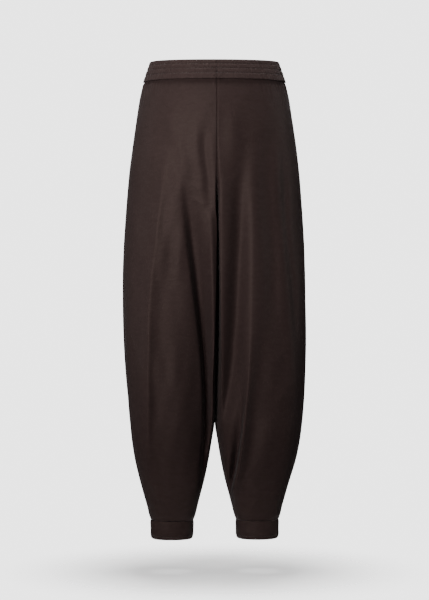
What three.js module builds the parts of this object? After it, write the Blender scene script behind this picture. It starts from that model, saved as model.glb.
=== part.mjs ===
// Barrel-leg trousers in dark satin, in the hollow shape they take when worn.
// Millimetres, +Z up. The wearer faces -Y, so the seat is at +Y and the wearer's left is at +X.
// The origin is the middle of the waist opening, half way down the elastic waistband.
import * as THREE from "three";

// Heights, measured from the origin
const WAIST_TOP = 20;
const WAIST_SEAM = -20;
const CROTCH = -276;
const CUFF_SEAM = -940;
const HEM = -980;

// Cloth
const SEAM_GAP = 0.32;
const PANEL_WALL = 1.6;
const BAND_WALL = 3;
const CUFF_WALL = 2.2;

// How square the rings are: 0 is an ellipse
const BODY_SQUARE = 0.015;
const LEG_SQUARE = 0.03;
const CUFF_SQUARE = 0.01;

// Where the cloth turns from the back or the front into the inner side of a leg, as a share of the way
// from the side seam to the inseam, and how near that line is to the centre seam above the crotch
const CORNER = 0.8;
const CORNER_ON_BODY = 0.985;

// Rings of the worn shape. side: half the width over both legs. gap: half the space between the legs.
// back and front: how far the cloth reaches behind and before the origin. flat: how flat the leg's inner
// side is. lean: how far the space between the legs leans to the right leg 50 mm behind its middle.
const RINGS = [
  { z: -20, side: 146, gap: 0.16, back: 103.5, front: 97.5, flat: 0.95, lean: 0 },
  { z: -60, side: 155.5, gap: 0.16, back: 112, front: 103, flat: 0.95, lean: 0 },
  { z: -120, side: 166, gap: 0.16, back: 120, front: 107, flat: 0.95, lean: 0 },
  { z: -200, side: 176.5, gap: 0.16, back: 124, front: 109, flat: 0.95, lean: 0 },
  { z: -285, side: 183, gap: 0.2, back: 122, front: 110, flat: 0.93, lean: 0 },
  { z: -370, side: 188, gap: 0.4, back: 119, front: 110, flat: 0.8, lean: 1 },
  { z: -460, side: 190.5, gap: 0.4, back: 115, front: 109.5, flat: 0.6, lean: 1 },
  { z: -560, side: 190, gap: 0.3, back: 110, front: 107, flat: 0.35, lean: 0.6 },
  { z: -660, side: 185.5, gap: 0.25, back: 103.5, front: 101, flat: 0.16, lean: 0 },
  { z: -715, side: 181.5, gap: 0.3, back: 98.5, front: 94, flat: 0.1, lean: 0 },
  { z: -740, side: 179, gap: 2.2, back: 96, front: 91, flat: 0.08, lean: 0 },
  { z: -770, side: 175.5, gap: 6.3, back: 92.5, front: 85.5, flat: 0.05, lean: 0 },
  { z: -810, side: 168.5, gap: 12.3, back: 86, front: 77, flat: 0.03, lean: 0 },
  { z: -850, side: 158.5, gap: 20.5, back: 78, front: 67, flat: 0, lean: 0 },
  { z: -890, side: 147.5, gap: 31, back: 68.5, front: 55, flat: 0, lean: 0 },
  { z: -925, side: 137.5, gap: 40, back: 56.5, front: 42.5, flat: 0, lean: 0 },
  { z: -940, side: 133.5, gap: 45, back: 50, front: 37, flat: 0, lean: 0 },
];

// The centre seam goes down the middle and turns under the body to the crotch.
// row: row of the cloth's grid. reach: share of the ring's depth that the seam still has.
const CENTRE_SEAM = [
  { row: 0, z: WAIST_SEAM - SEAM_GAP, reach: 1 },
  { row: 2, z: -76, reach: 1 },
  { row: 4, z: -130, reach: 1 },
  { row: 6, z: -180, reach: 0.995 },
  { row: 8, z: -222, reach: 0.97 },
  { row: 10, z: -254, reach: 0.86 },
  { row: 12, z: -271, reach: 0.52 },
  { row: 14, z: CROTCH, reach: 0 },
];
const CROTCH_ROW = 14;
const LAST_ROW = 34;
const PANEL_TOP = WAIST_SEAM - SEAM_GAP;
const PANEL_BOTTOM = CUFF_SEAM + SEAM_GAP;

// Long folds that fall from the seat and the hips. x: distance from the centre plane at each height z.
// rise: how far the cloth stands out there, or how deep it sinks where it is negative.
// outer and inner: how far the fold reaches towards the side seam and towards the centre.
const BACK_LEFT_FOLDS = {
  outer_ridge: {
    z: [-150, -250, -360, -460, -565, -690, -795, -880],
    x: [122, 125, 129, 139, 145, 147.5, 148, 138],
    rise: [0, 6, 9, 10, 11, 11, 8, 0],
    outer: [32, 28, 24, 22, 19, 16, 15, 18],
    inner: [40, 32, 27, 25, 22, 20, 20, 24],
  },
  inner_crest: {
    z: [-190, -270, -356, -418, -502, -565, -648, -732, -815, -870],
    x: [82, 78, 70, 63, 52, 44, 34, 30, 34, 38],
    rise: [0, 3, 5, 6, 6, 6, 6, 6, 5, 2],
    outer: [30, 30, 30, 30, 28, 26, 24, 22, 20, 18],
    inner: [16, 14, 12, 11, 9, 8, 7, 7, 7, 8],
  },
  inner_hollow: {
    z: [-190, -255, -320, -380, -440, -502, -565, -628, -690, -752, -815, -870],
    x: [67, 61, 53, 45, 38, 31, 25, 18, 16, 17, 23, 30],
    rise: [0, -4, -9, -13, -15, -17, -19, -21, -22, -18, -11, -1],
    outer: [16, 14, 13, 13, 13, 12, 11, 10, 9, 9, 9, 9],
    inner: [22, 20, 18, 17, 16, 15, 13, 11, 9, 8, 9, 10],
  },
  inner_slope: {
    z: [-340, -440, -502, -565, -690, -780, -860],
    x: [40, 34, 31, 28, 25, 27, 34],
    rise: [0, -4, -8, -13, -17, -14, 0],
    outer: [40, 40, 40, 40, 40, 38, 30],
    inner: [16, 15, 14, 14, 12, 12, 14],
  },
  inner_roll: {
    z: [-300, -377, -502, -628, -700],
    x: [14, 12, 10, 7, 6],
    rise: [0, 4, 5, 3, 0],
    outer: [9, 8, 7, 6, 6],
    inner: [8, 8, 8, 8, 8],
  },
  crotch_hollow: {
    z: [-120, -160, -205, -250, -310],
    x: [32, 27, 22, 18, 14],
    rise: [0, -2.5, -4, -3, 0],
    outer: [10, 10, 10, 10, 10],
    inner: [9, 9, 9, 8, 8],
  },
};
const BACK_RIGHT_FOLDS = {
  inner_edge: {
    z: [-210, -260, -356, -481, -565, -650],
    x: [12, 11, 9, 8, 7, 8],
    rise: [0, 3, 5, 6, 5, 0],
    outer: [20, 20, 18, 18, 18, 18],
    inner: [8, 8, 8, 8, 8, 8],
  },
  inner_hollow: {
    z: [-140, -200, -260, -333, -412, -500, -565, -628, -680, -740],
    x: [54, 51, 48, 46, 44, 42, 38, 32, 24, 14],
    rise: [0, -4, -8, -11, -13, -15, -16, -16, -13, 0],
    outer: [17, 16, 16, 16, 16, 16, 16, 17, 17, 16],
    inner: [16, 16, 17, 17, 17, 16, 15, 14, 12, 10],
  },
  middle_crest: {
    z: [-150, -272, -398, -481, -544, -606, -669, -711, -773, -826, -867, -900],
    x: [78, 76, 75, 73, 70, 66, 62.4, 60.5, 56.6, 50.7, 44, 40],
    rise: [0, 5, 8, 10, 11, 12, 13, 14, 14, 13, 10, 3],
    outer: [36, 34, 30, 26, 22, 17, 13, 11, 11, 12, 14, 16],
    inner: [24, 22, 20, 18, 17, 15, 13, 11, 9, 7, 6, 7],
  },
  low_hollow: {
    z: [-680, -730, -775, -815, -850, -900],
    x: [50, 48, 43, 37.5, 34, 34],
    rise: [0, -5, -11, -15, -14, 0],
    outer: [8, 8, 7, 7, 7, 8],
    inner: [12, 12, 11, 10, 9, 9],
  },
  knee_hollow: {
    z: [-580, -640, -690, -752, -815, -875],
    x: [108, 103, 97, 77, 63, 54],
    rise: [0, -3, -6, -7, -6, 0],
    outer: [16, 16, 15, 13, 12, 12],
    inner: [14, 13, 12, 10, 9, 9],
  },
  knee_drape: {
    z: [-600, -681, -756, -829, -885],
    x: [150, 133, 104, 82, 70],
    rise: [0, 3, 5, 5, 0],
    outer: [22, 22, 22, 22, 20],
    inner: [18, 18, 17, 16, 16],
  },
  outer_crest: {
    z: [-150, -220, -300, -356, -418, -523, -646, -732, -800],
    x: [126, 130, 134, 138, 145, 153.7, 165, 164, 155],
    rise: [0, 2, 3, 3, 3, 4, 5, 3, 0],
    outer: [9, 8, 8, 8, 8, 9, 10, 10, 12],
    inner: [20, 18, 18, 20, 22, 22, 22, 22, 22],
  },
  outer_hollow: {
    z: [-120, -200, -272, -398, -481, -600],
    x: [104, 106, 108, 114, 121, 128],
    rise: [0, -3, -4, -4, -3, 0],
    outer: [16, 15, 15, 16, 18, 20],
    inner: [18, 18, 18, 18, 18, 18],
  },
  side_hollow: {
    z: [-150, -210, -260, -320, -377, -440, -500, -565, -640],
    x: [136, 138, 140, 143, 148, 157, 162, 163, 168],
    rise: [0, -2.5, -4, -4, -4, -3, -3, -2, 0],
    outer: [9, 9, 9, 9, 9, 9, 9, 9, 9],
    inner: [8, 7, 7, 7, 7, 8, 8, 9, 9],
  },
};
const FRONT_LEFT_FOLDS = {
  outer_ridge: {
    z: [-140, -240, -360, -480, -600, -720, -820, -880],
    x: [112, 116, 122, 131, 137, 138, 130, 120],
    rise: [0, 4, 6, 7, 7, 6, 4, 0],
    outer: [28, 26, 24, 22, 20, 18, 18, 20],
    inner: [34, 32, 28, 26, 24, 20, 20, 22],
  },
  inner_crest: {
    z: [-210, -300, -400, -500, -600, -700, -790, -860],
    x: [66, 64, 58, 50, 43, 38, 40, 46],
    rise: [0, 4, 6, 8, 9, 9, 7, 1],
    outer: [28, 28, 26, 24, 22, 20, 18, 18],
    inner: [14, 11, 9, 8, 7, 7, 7, 9],
  },
  inner_hollow: {
    z: [-210, -300, -400, -500, -600, -700, -790, -860],
    x: [50, 46, 38, 31, 25, 21, 22, 30],
    rise: [0, -4, -7, -9, -10, -9, -5, 0],
    outer: [9, 9, 9, 9, 9, 8, 8, 8],
    inner: [16, 16, 16, 14, 12, 11, 11, 11],
  },
};
const FRONT_RIGHT_FOLDS = {
  outer_ridge: {
    z: [-160, -260, -380, -500, -620, -730, -810, -870],
    x: [124, 128, 134, 142, 146, 143, 134, 126],
    rise: [0, 3, 5, 6, 6, 5, 3, 0],
    outer: [26, 24, 22, 20, 18, 17, 18, 18],
    inner: [32, 30, 28, 26, 22, 20, 20, 20],
  },
  middle_crest: {
    z: [-180, -290, -400, -510, -620, -720, -810, -870],
    x: [84, 82, 78, 72, 66, 61, 58, 60],
    rise: [0, 3, 5, 7, 8, 9, 8, 2],
    outer: [30, 28, 26, 24, 22, 20, 18, 16],
    inner: [20, 18, 16, 13, 11, 9, 8, 9],
  },
  inner_hollow: {
    z: [-180, -290, -400, -510, -620, -720, -810, -870],
    x: [52, 48, 44, 40, 38, 38, 40, 46],
    rise: [0, -4, -6, -7, -8, -9, -7, 0],
    outer: [14, 13, 12, 11, 10, 9, 8, 8],
    inner: [16, 16, 15, 14, 13, 12, 10, 9],
  },
};

// Soft folds at the side seams. turn: angle round the leg in degrees, from the side seam to the seat.
const LEFT_SIDE_FOLDS = {
  hip_fold: {
    z: [-170, -280, -400, -520, -640, -740],
    turn: [-14, -18, -22, -24, -22, -16],
    rise: [0, 3, 5, 5, 4, 0],
    reach: [20, 20, 20, 22, 22, 24],
  },
  knee_hollow: {
    z: [-420, -540, -660, -780, -860],
    turn: [6, 2, -4, -10, -14],
    rise: [0, -3, -4, -4, 0],
    reach: [16, 16, 16, 14, 12],
  },
};
const RIGHT_SIDE_FOLDS = {
  hip_fold: {
    z: [-190, -300, -420, -560, -680],
    turn: [-20, -22, -26, -30, -34],
    rise: [0, 4, 5, 5, 0],
    reach: [20, 20, 20, 22, 24],
  },
  knee_fold: {
    z: [-480, -600, -700, -800, -870],
    turn: [10, 4, 0, -2, -2],
    rise: [0, 3, 5, 4, 0],
    reach: [18, 18, 18, 16, 14],
  },
};

// The four panels. half: 1 is the wearer's left. face: 1 is the back.
// lines: columns of the grid that follow a fold, each with the angle that it keeps where the fold is flat.
// cells: how many cells lie between one line and the next, from the side seam to the centre.
const PANELS = {
  back_left_panel: {
    half: 1,
    face: 1,
    folds: BACK_LEFT_FOLDS,
    lines: [
      ["outer_ridge", 50],
      ["inner_crest", 110],
      ["inner_hollow", 132],
    ],
    cells: [4, 4, 2, 1, 3],
  },
  back_right_panel: {
    half: -1,
    face: 1,
    folds: BACK_RIGHT_FOLDS,
    lines: [
      ["outer_crest", 45],
      ["middle_crest", 100],
      ["inner_hollow", 135],
    ],
    cells: [3, 4, 2, 2, 3],
  },
  front_left_panel: {
    half: 1,
    face: -1,
    folds: FRONT_LEFT_FOLDS,
    lines: [
      ["outer_ridge", 50],
      ["inner_crest", 105],
      ["inner_hollow", 130],
    ],
    cells: [4, 4, 1, 1, 3],
  },
  front_right_panel: {
    half: -1,
    face: -1,
    folds: FRONT_RIGHT_FOLDS,
    lines: [
      ["outer_ridge", 50],
      ["middle_crest", 95],
      ["inner_hollow", 128],
    ],
    cells: [4, 3, 2, 1, 3],
  },
};
const SIDE_FOLDS = { 1: LEFT_SIDE_FOLDS, "-1": RIGHT_SIDE_FOLDS };

// Gathers under the waist seam, strongest towards the sides
const PANEL_GATHERS = 12;
const GATHER_PITCH = 10;
const GATHER_RISE = 1.6;
const GATHER_DROP = 75;

// Waistband: two layers over elastic, drawn into gathers by three rows of stitching
const BAND_TOP_SIZE = { side: 133.5, back: 94, front: 89 };
const BAND_FOOT_SIZE = { side: 148.5, back: 106.5, front: 100.5 };
const BAND_GATHERS = 132;
const BAND_GATHER_RISE = 1.4;
const BAND_ROWS = [
  { z: WAIST_TOP, out: -1.2, gather: 0.6 },
  { z: 16.5, out: 0, gather: 1 },
  { z: 12, out: -0.8, gather: 0.7 },
  { z: 6.5, out: 0.2, gather: 1 },
  { z: 0.5, out: -0.8, gather: 0.7 },
  { z: -4.5, out: 0.2, gather: 1 },
  { z: -9.5, out: -0.8, gather: 0.7 },
  { z: -15, out: 0.2, gather: 1 },
  { z: WAIST_SEAM, out: 0, gather: 0.8 },
];
const BAND_INSIDE_POINTS = 66;

// Cuffs: a folded strip round each ankle
const CUFF_POINTS = 40;
const CUFF_CENTRE = { x: 89.6, y: 6.5 };
const CUFF_HALF = { x: 45.2, y: 44 };
const CUFF_ROWS = [
  { z: CUFF_SEAM, out: -0.6 },
  { z: -944, out: 0.2 },
  { z: -960, out: 0 },
  { z: -977, out: -0.8 },
  { z: HEM, out: -2 },
];

const SATIN = { color: 0x382c2b, roughness: 0.45, metalness: 0 };

const rad = THREE.MathUtils.degToRad;
const mix = THREE.MathUtils.lerp;
const clamp = THREE.MathUtils.clamp;

function ease(t) {
  const s = clamp(t, 0, 1);
  return s * s * (3 - 2 * s);
}

// Smooth value of a column at key, through rows sorted from high to low or low to high
function through(keys, values, key) {
  const last = keys.length - 1;
  const sign = keys[last] > keys[0] ? 1 : -1;
  if ((key - keys[0]) * sign <= 0) return values[0];
  if ((key - keys[last]) * sign >= 0) return values[last];
  let i = 0;
  while ((key - keys[i + 1]) * sign > 0) i += 1;
  const slope = (k) => {
    const a = Math.max(k - 1, 0);
    const b = Math.min(k + 1, last);
    return (values[b] - values[a]) / (keys[b] - keys[a]);
  };
  const span = keys[i + 1] - keys[i];
  const t = (key - keys[i]) / span;
  const t2 = t * t;
  const t3 = t2 * t;
  return (
    (2 * t3 - 3 * t2 + 1) * values[i] +
    (t3 - 2 * t2 + t) * span * slope(i) +
    (3 * t2 - 2 * t3) * values[i + 1] +
    (t3 - t2) * span * slope(i + 1)
  );
}

function column(table, keyName, name) {
  const keys = table.map((row) => row[keyName]);
  const values = table.map((row) => row[name]);
  return (key) => through(keys, values, key);
}

const ring = {
  side: column(RINGS, "z", "side"),
  gap: column(RINGS, "z", "gap"),
  back: column(RINGS, "z", "back"),
  front: column(RINGS, "z", "front"),
  flat: column(RINGS, "z", "flat"),
  lean: column(RINGS, "z", "lean"),
};
const seamHeight = column(CENTRE_SEAM, "row", "z");
const seamReach = column(CENTRE_SEAM, "row", "reach");

function squaredCos(angle, square) {
  return (Math.cos(angle) - square * Math.cos(3 * angle)) / (1 - square);
}

function squaredSin(angle, square) {
  return (Math.sin(angle) + square * Math.sin(3 * angle)) / (1 - square);
}

// Height of a grid row at the centre seam and, past the crotch, at the inseam
function centreHeight(row) {
  if (row <= CROTCH_ROW) return seamHeight(row);
  return mix(CROTCH, PANEL_BOTTOM, (row - CROTCH_ROW) / (LAST_ROW - CROTCH_ROW));
}

// Mean of a value over nearby rows, which rounds the crotch's corner for the cloth away from the seam
function softened(value, row, turn) {
  const ends = Math.min(1, row / 6, (LAST_ROW - row) / 6);
  const spread = 4 * ends * Math.pow(Math.max(0, 1 - Math.abs(turn) / Math.PI), 0.7);
  const steps = [-1, -0.5, 0, 0.5, 1];
  return steps.reduce((sum, k) => sum + value(row + k * spread), 0) / steps.length;
}

// Angle round the whole body, from the side to the centre, for an angle round the leg
function bodyAngle(turn) {
  const part = Math.abs(turn) / Math.PI;
  const share = part < CORNER
    ? (part / CORNER) * CORNER_ON_BODY
    : mix(CORNER_ON_BODY, 1, (part - CORNER) / (1 - CORNER));
  return (Math.sign(turn) * share * Math.PI) / 2;
}

// How far a leg's inner wall moves out at a depth, because the space between the legs leans
function wallLean(half, y, z) {
  const middle = (ring.back(z) - ring.front(z)) / 2;
  return (-half * ring.lean(z) * (y - middle)) / 50;
}

// Smallest distance from the centre plane that keeps the legs apart
function innerLimit(half, y, z) {
  return ring.gap(z) + wallLean(half, y, z);
}

// Point of the plain worn shape, drawn on the side with x above 0 for both halves.
// turn: -PI at the front centre or inseam, 0 at the side seam, PI at the back centre or inseam.
function plainPoint(half, turn, row) {
  const part = Math.min(1, Math.abs(turn) / Math.PI);
  const sideZ = mix(PANEL_TOP, PANEL_BOTTOM, row / LAST_ROW);
  const z = mix(sideZ, softened(centreHeight, row, turn), part * part);
  const reach = clamp(softened((r) => (r < CROTCH_ROW ? seamReach(r) : 0), row, turn), 0, 1);
  const side = ring.side(z);
  const gap = ring.gap(z);
  const back = ring.back(z);
  const front = ring.front(z);
  const middle = (back - front) / 2;
  const depth = turn > 0 ? back : front;
  const bodyTurn = bodyAngle(turn);
  const body = {
    x: gap + (side - gap) * squaredCos(bodyTurn, BODY_SQUARE),
    y: depth * squaredSin(bodyTurn, BODY_SQUARE),
  };
  const round = {
    x: (side + gap) / 2 + ((side - gap) / 2) * squaredCos(turn, LEG_SQUARE),
    y: middle + ((back + front) / 2) * squaredSin(turn, LEG_SQUARE),
  };
  const outerTurn = (clamp(turn / (CORNER * Math.PI), -1, 1) * Math.PI) / 2;
  const wallShare = clamp((part - CORNER) / (1 - CORNER), 0, 1);
  const flat = {
    x: gap + (side - gap) * squaredCos(outerTurn, BODY_SQUARE),
    y: mix(depth * squaredSin(outerTurn, BODY_SQUARE), middle, wallShare),
  };
  const leg = {
    x: mix(round.x, flat.x, ring.flat(z)),
    y: mix(round.y, flat.y, ring.flat(z)),
  };
  leg.x += wallLean(half, leg.y, z) * ((1 - Math.cos(turn)) / 2) ** 4;
  return { x: mix(leg.x, body.x, reach), y: mix(leg.y, body.y, reach), z };
}

function foldValue(fold, name, z) {
  return through(fold.z, fold[name], z);
}

// A fold's height at a distance from its line: wide on one side and narrow on the other
function foldShape(distance, before, after) {
  const width = distance > 0 ? before : after;
  return Math.exp(-((distance / width) ** 2));
}

// How far the long folds move the cloth back or forward at a point
function foldRise(folds, point) {
  return Object.values(folds).reduce((sum, fold) => {
    const distance = point.x - foldValue(fold, "x", point.z);
    const outer = foldValue(fold, "outer", point.z);
    const inner = foldValue(fold, "inner", point.z);
    return sum + foldValue(fold, "rise", point.z) * foldShape(distance, outer, inner);
  }, 0);
}

// How far the side folds move the cloth outwards
function sideRise(folds, turn, z) {
  return Object.values(folds).reduce((sum, fold) => {
    const distance = (turn * 180) / Math.PI - foldValue(fold, "turn", z);
    const reach = foldValue(fold, "reach", z);
    return sum + foldValue(fold, "rise", z) * foldShape(distance, reach, reach);
  }, 0);
}

// The legs puff out just above the cuff and roll in to its seam
function cuffPuff(z) {
  const height = z - CUFF_SEAM;
  return 2.2 * Math.exp(-(((height - 14) / 11) ** 2));
}

// Outside of a panel with its folds, on the half with x above 0
function clothPoint(panel, turn, row) {
  const point = plainPoint(panel.half, turn, row);
  const ahead = plainPoint(panel.half, turn + 0.002, row);
  const behind = plainPoint(panel.half, turn - 0.002, row);
  const along = { x: ahead.x - behind.x, y: ahead.y - behind.y };
  const length = Math.hypot(along.x, along.y) || 1;
  const out = { x: along.y / length, y: -along.x / length };
  const part = Math.abs(turn) / Math.PI;
  const fromCentre = ease((1 - part) / 0.12);
  const fromSide = ease(part / 0.12);
  const depth = foldRise(panel.folds, point) * fromCentre * fromSide;
  const swell = sideRise(SIDE_FOLDS[panel.half], turn, point.z) + cuffPuff(point.z) * fromCentre;
  const y = point.y + panel.face * depth + out.y * swell;
  const limit = innerLimit(panel.half, y, point.z);
  return { x: Math.max(point.x + out.x * swell, limit), y, z: point.z };
}

// Direction that the outside of the cloth faces
function clothNormal(panel, turn, row) {
  const limit = Math.PI - 0.012;
  const t = clamp(turn, -limit, limit);
  const r = clamp(row, 0.05, LAST_ROW - 0.05);
  const vector = (a, b) => new THREE.Vector3(a.x - b.x, a.y - b.y, a.z - b.z);
  const along = vector(clothPoint(panel, t + 0.01, r), clothPoint(panel, t - 0.01, r));
  const down = vector(clothPoint(panel, t, r + 0.05), clothPoint(panel, t, r - 0.05));
  return down.cross(along).normalize();
}

// Angle at which a grid row crosses a fold's line
function turnOnFold(panel, fold, row) {
  let low = 0.02;
  let high = Math.PI - 0.02;
  for (let i = 0; i < 24; i += 1) {
    const middle = (low + high) / 2;
    const point = plainPoint(panel.half, panel.face * middle, row);
    if (point.x > foldValue(fold, "x", point.z)) low = middle;
    else high = middle;
  }
  return (low + high) / 2;
}

// Angles of a row's columns, from the side seam to the centre, along the main folds
function columnTurns(panel, row) {
  const marks = [0];
  panel.lines.forEach(([name, restDegrees], i) => {
    const fold = panel.folds[name];
    const found = turnOnFold(panel, fold, row);
    const { z } = plainPoint(panel.half, panel.face * found, row);
    const most = Math.max(...fold.rise.map(Math.abs));
    const weight = ease((1.6 * Math.abs(foldValue(fold, "rise", z))) / most);
    const turn = mix(rad(restDegrees), found, weight);
    const before = marks[i] + rad(4) * panel.cells[i];
    const room = panel.cells.slice(i + 1, -1).reduce((sum, n) => sum + n * rad(4), 0);
    marks.push(clamp(turn, before, CORNER * Math.PI - room));
  });
  marks.push(CORNER * Math.PI, Math.PI);
  const turns = [];
  panel.cells.forEach((count, i) => {
    for (let k = 0; k < count; k += 1) turns.push(mix(marks[i], marks[i + 1], k / count));
  });
  turns.push(Math.PI);
  return turns;
}

// Half the seam gap, as an angle round the ring
function gapTurn(half, turn, row) {
  const a = plainPoint(half, turn - 0.005, row);
  const b = plainPoint(half, turn + 0.005, row);
  return (SEAM_GAP / 2) / (Math.hypot(a.x - b.x, a.y - b.y) / 0.01);
}

// Outside and inside points of one row of a panel
function panelRow(panel, row) {
  const turns = columnTurns(panel, row);
  const last = turns.length - 1;
  turns[0] = gapTurn(panel.half, 0, row);
  if (row >= CROTCH_ROW) turns[last] -= gapTurn(panel.half, panel.face * (Math.PI - 0.01), row);
  const outside = turns.map((turn) => clothPoint(panel, panel.face * turn, row));
  const inside = turns.map((turn, i) => {
    const normal = clothNormal(panel, panel.face * turn, row);
    const y = outside[i].y - normal.y * PANEL_WALL;
    const z = clamp(outside[i].z - normal.z * PANEL_WALL, PANEL_BOTTOM, PANEL_TOP);
    const limit = innerLimit(panel.half, y, z);
    return { x: Math.max(outside[i].x - normal.x * PANEL_WALL, limit), y, z };
  });
  return { turns, outside, inside };
}

// Outside of a row near the waist, with a ridge and a valley for each gather
function gatheredRow(panel, row, plain) {
  const drop = PANEL_TOP - plain.outside[0].z;
  const fade = 1 - ease(drop / GATHER_DROP);
  if (fade <= 0.02) return plain.outside;
  const ringSpeed = 155;
  const end = (PANEL_GATHERS * GATHER_PITCH) / ringSpeed;
  const points = [plain.outside[0]];
  for (let i = 1; i <= PANEL_GATHERS * 2; i += 1) {
    const turn = (end * i) / (PANEL_GATHERS * 2);
    const point = clothPoint(panel, panel.face * turn, row);
    const normal = clothNormal(panel, panel.face * turn, row);
    const calm = 1 - ease(turn / end) * 0.7;
    const rise = (i % 2 ? GATHER_RISE : 0) * fade * calm;
    points.push({ x: point.x + normal.x * rise, y: point.y + normal.y * rise, z: point.z });
  }
  plain.turns.forEach((turn, i) => {
    if (turn > end + 0.03) points.push(plain.outside[i]);
  });
  return points;
}

// Share of a line's length that lies before each of its points
function shares(line, positions) {
  const at = (k) => new THREE.Vector3().fromArray(positions, line[k] * 3);
  const sums = [0];
  for (let k = 1; k < line.length; k += 1) sums.push(sums[k - 1] + at(k).distanceTo(at(k - 1)));
  return sums.map((sum) => sum / sums[sums.length - 1]);
}

// Triangles between two lines of point numbers, which may have different counts
function zip(lineA, lineB, faces, positions) {
  const even = lineA.length === lineB.length;
  const shareA = even ? lineA.map((_, k) => k) : shares(lineA, positions);
  const shareB = even ? shareA : shares(lineB, positions);
  const endA = lineA.length - 1;
  const endB = lineB.length - 1;
  let i = 0;
  let j = 0;
  while (i < endA || j < endB) {
    if (j >= endB || (i < endA && shareA[i + 1] <= shareB[j + 1])) {
      faces.push([lineA[i], lineA[i + 1], lineB[j]]);
      i += 1;
    } else {
      faces.push([lineA[i], lineB[j + 1], lineB[j]]);
      j += 1;
    }
  }
}

// Closed wall between an outside and an inside, each given as rows of points.
// Rows run down the wall, and points run the same way along every row.
function wall(outside, inside, mirrored) {
  const positions = [];
  const number = (rows) =>
    rows.map((row) =>
      row.map((p) => {
        positions.push(mirrored ? -p.x : p.x, p.y, p.z);
        return positions.length / 3 - 1;
      }),
    );
  const outer = number(outside);
  const inner = number(inside);
  const faces = [];
  const firstOf = (line) => line[0];
  const lastOf = (line) => line[line.length - 1];
  const join = (lineA, lineB) => zip(lineA, lineB, faces, positions);
  for (let r = 0; r + 1 < outer.length; r += 1) join(outer[r + 1], outer[r]);
  for (let r = 0; r + 1 < inner.length; r += 1) join(inner[r], inner[r + 1]);
  join(outer[0], inner[0]);
  join(lastOf(inner), lastOf(outer));
  join(inner.map(firstOf), outer.map(firstOf));
  join(outer.map(lastOf), inner.map(lastOf));
  const geometry = new THREE.BufferGeometry();
  geometry.setAttribute("position", new THREE.Float32BufferAttribute(positions, 3));
  geometry.setIndex(faces.flatMap(([a, b, c]) => (mirrored ? [a, c, b] : [a, b, c])));
  return turnedOutwards(geometry);
}

// Flips the triangles of a closed geometry whose volume comes out negative
function turnedOutwards(geometry) {
  const p = geometry.getAttribute("position");
  const index = Array.from(geometry.getIndex().array);
  const corner = (i) => new THREE.Vector3().fromBufferAttribute(p, i);
  let volume = 0;
  for (let i = 0; i < index.length; i += 3) {
    volume += corner(index[i]).dot(corner(index[i + 1]).cross(corner(index[i + 2])));
  }
  if (volume < 0) {
    for (let i = 0; i < index.length; i += 3) {
      [index[i + 1], index[i + 2]] = [index[i + 2], index[i + 1]];
    }
    geometry.setIndex(index);
  }
  geometry.computeVertexNormals();
  return geometry;
}

function piece(name, geometry) {
  const mesh = new THREE.Mesh(geometry, new THREE.MeshStandardMaterial(SATIN));
  mesh.name = name;
  return mesh;
}

function trouserPanel(name) {
  const panel = PANELS[name];
  const outside = [];
  const inside = [];
  for (let row = 0; row <= LAST_ROW; row += 1) {
    const points = panelRow(panel, row);
    outside.push(gatheredRow(panel, row, points));
    inside.push(points.inside);
  }
  return piece(name, wall(outside, inside, panel.half < 0));
}

// Point of the waistband's ring. turn: 0 at +X, 90 degrees at the back.
function bandPoint(turn, z, out) {
  const t = (WAIST_TOP - z) / (WAIST_TOP - WAIST_SEAM);
  const side = mix(BAND_TOP_SIZE.side, BAND_FOOT_SIZE.side, t) + out;
  const back = mix(BAND_TOP_SIZE.back, BAND_FOOT_SIZE.back, t) + out;
  const front = mix(BAND_TOP_SIZE.front, BAND_FOOT_SIZE.front, t) + out;
  const depth = Math.sin(turn) > 0 ? back : front;
  return {
    x: side * squaredCos(turn, BODY_SQUARE),
    y: depth * squaredSin(turn, BODY_SQUARE),
    z,
  };
}

// A strip round the body whose two ends meet at the back seam
function waistband() {
  const back = Math.PI / 2;
  const gap = SEAM_GAP / 2 / BAND_TOP_SIZE.side;
  const turnAt = (share) => mix(back + gap, back + 2 * Math.PI - gap, share);
  const outside = BAND_ROWS.map(({ z, out, gather }) => {
    const points = [];
    for (let i = 0; i <= BAND_GATHERS * 2; i += 1) {
      const rise = i % 2 ? BAND_GATHER_RISE * gather : 0;
      points.push(bandPoint(turnAt(i / (BAND_GATHERS * 2)), z, out + rise));
    }
    return points;
  });
  const inside = [WAIST_TOP, WAIST_SEAM].map((z) => {
    const points = [];
    for (let i = 0; i <= BAND_INSIDE_POINTS; i += 1) {
      points.push(bandPoint(turnAt(i / BAND_INSIDE_POINTS), z, -BAND_WALL));
    }
    return points;
  });
  return piece("waistband", wall(outside, inside, false));
}

function cuffPoint(turn, z, out) {
  return {
    x: CUFF_CENTRE.x + (CUFF_HALF.x + out) * squaredCos(turn, CUFF_SQUARE),
    y: CUFF_CENTRE.y + (CUFF_HALF.y + out) * squaredSin(turn, CUFF_SQUARE),
    z,
  };
}

// A strip round the ankle whose two ends meet at the inseam
function cuff(name, half) {
  const gap = SEAM_GAP / 2 / CUFF_HALF.y;
  const turnAt = (share) => mix(-Math.PI + gap, Math.PI - gap, share);
  const rows = (list) =>
    list.map(({ z, out }) => {
      const points = [];
      for (let i = 0; i <= CUFF_POINTS; i += 1) points.push(cuffPoint(turnAt(i / CUFF_POINTS), z, out));
      return points;
    });
  const inside = [
    { z: CUFF_SEAM, out: -CUFF_WALL - 0.4 },
    { z: HEM, out: -CUFF_WALL - 1.4 },
  ];
  return piece(name, wall(rows(CUFF_ROWS), rows(inside), half < 0));
}

const trousers = new THREE.Group();
trousers.add(waistband());
Object.keys(PANELS).forEach((name) => trousers.add(trouserPanel(name)));
trousers.add(cuff("left_cuff", 1));
trousers.add(cuff("right_cuff", -1));

export default trousers;
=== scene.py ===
"""Barrel-leg trousers in dark crinkled satin, hollow as they are when worn, seen from the back."""

import math

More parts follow.
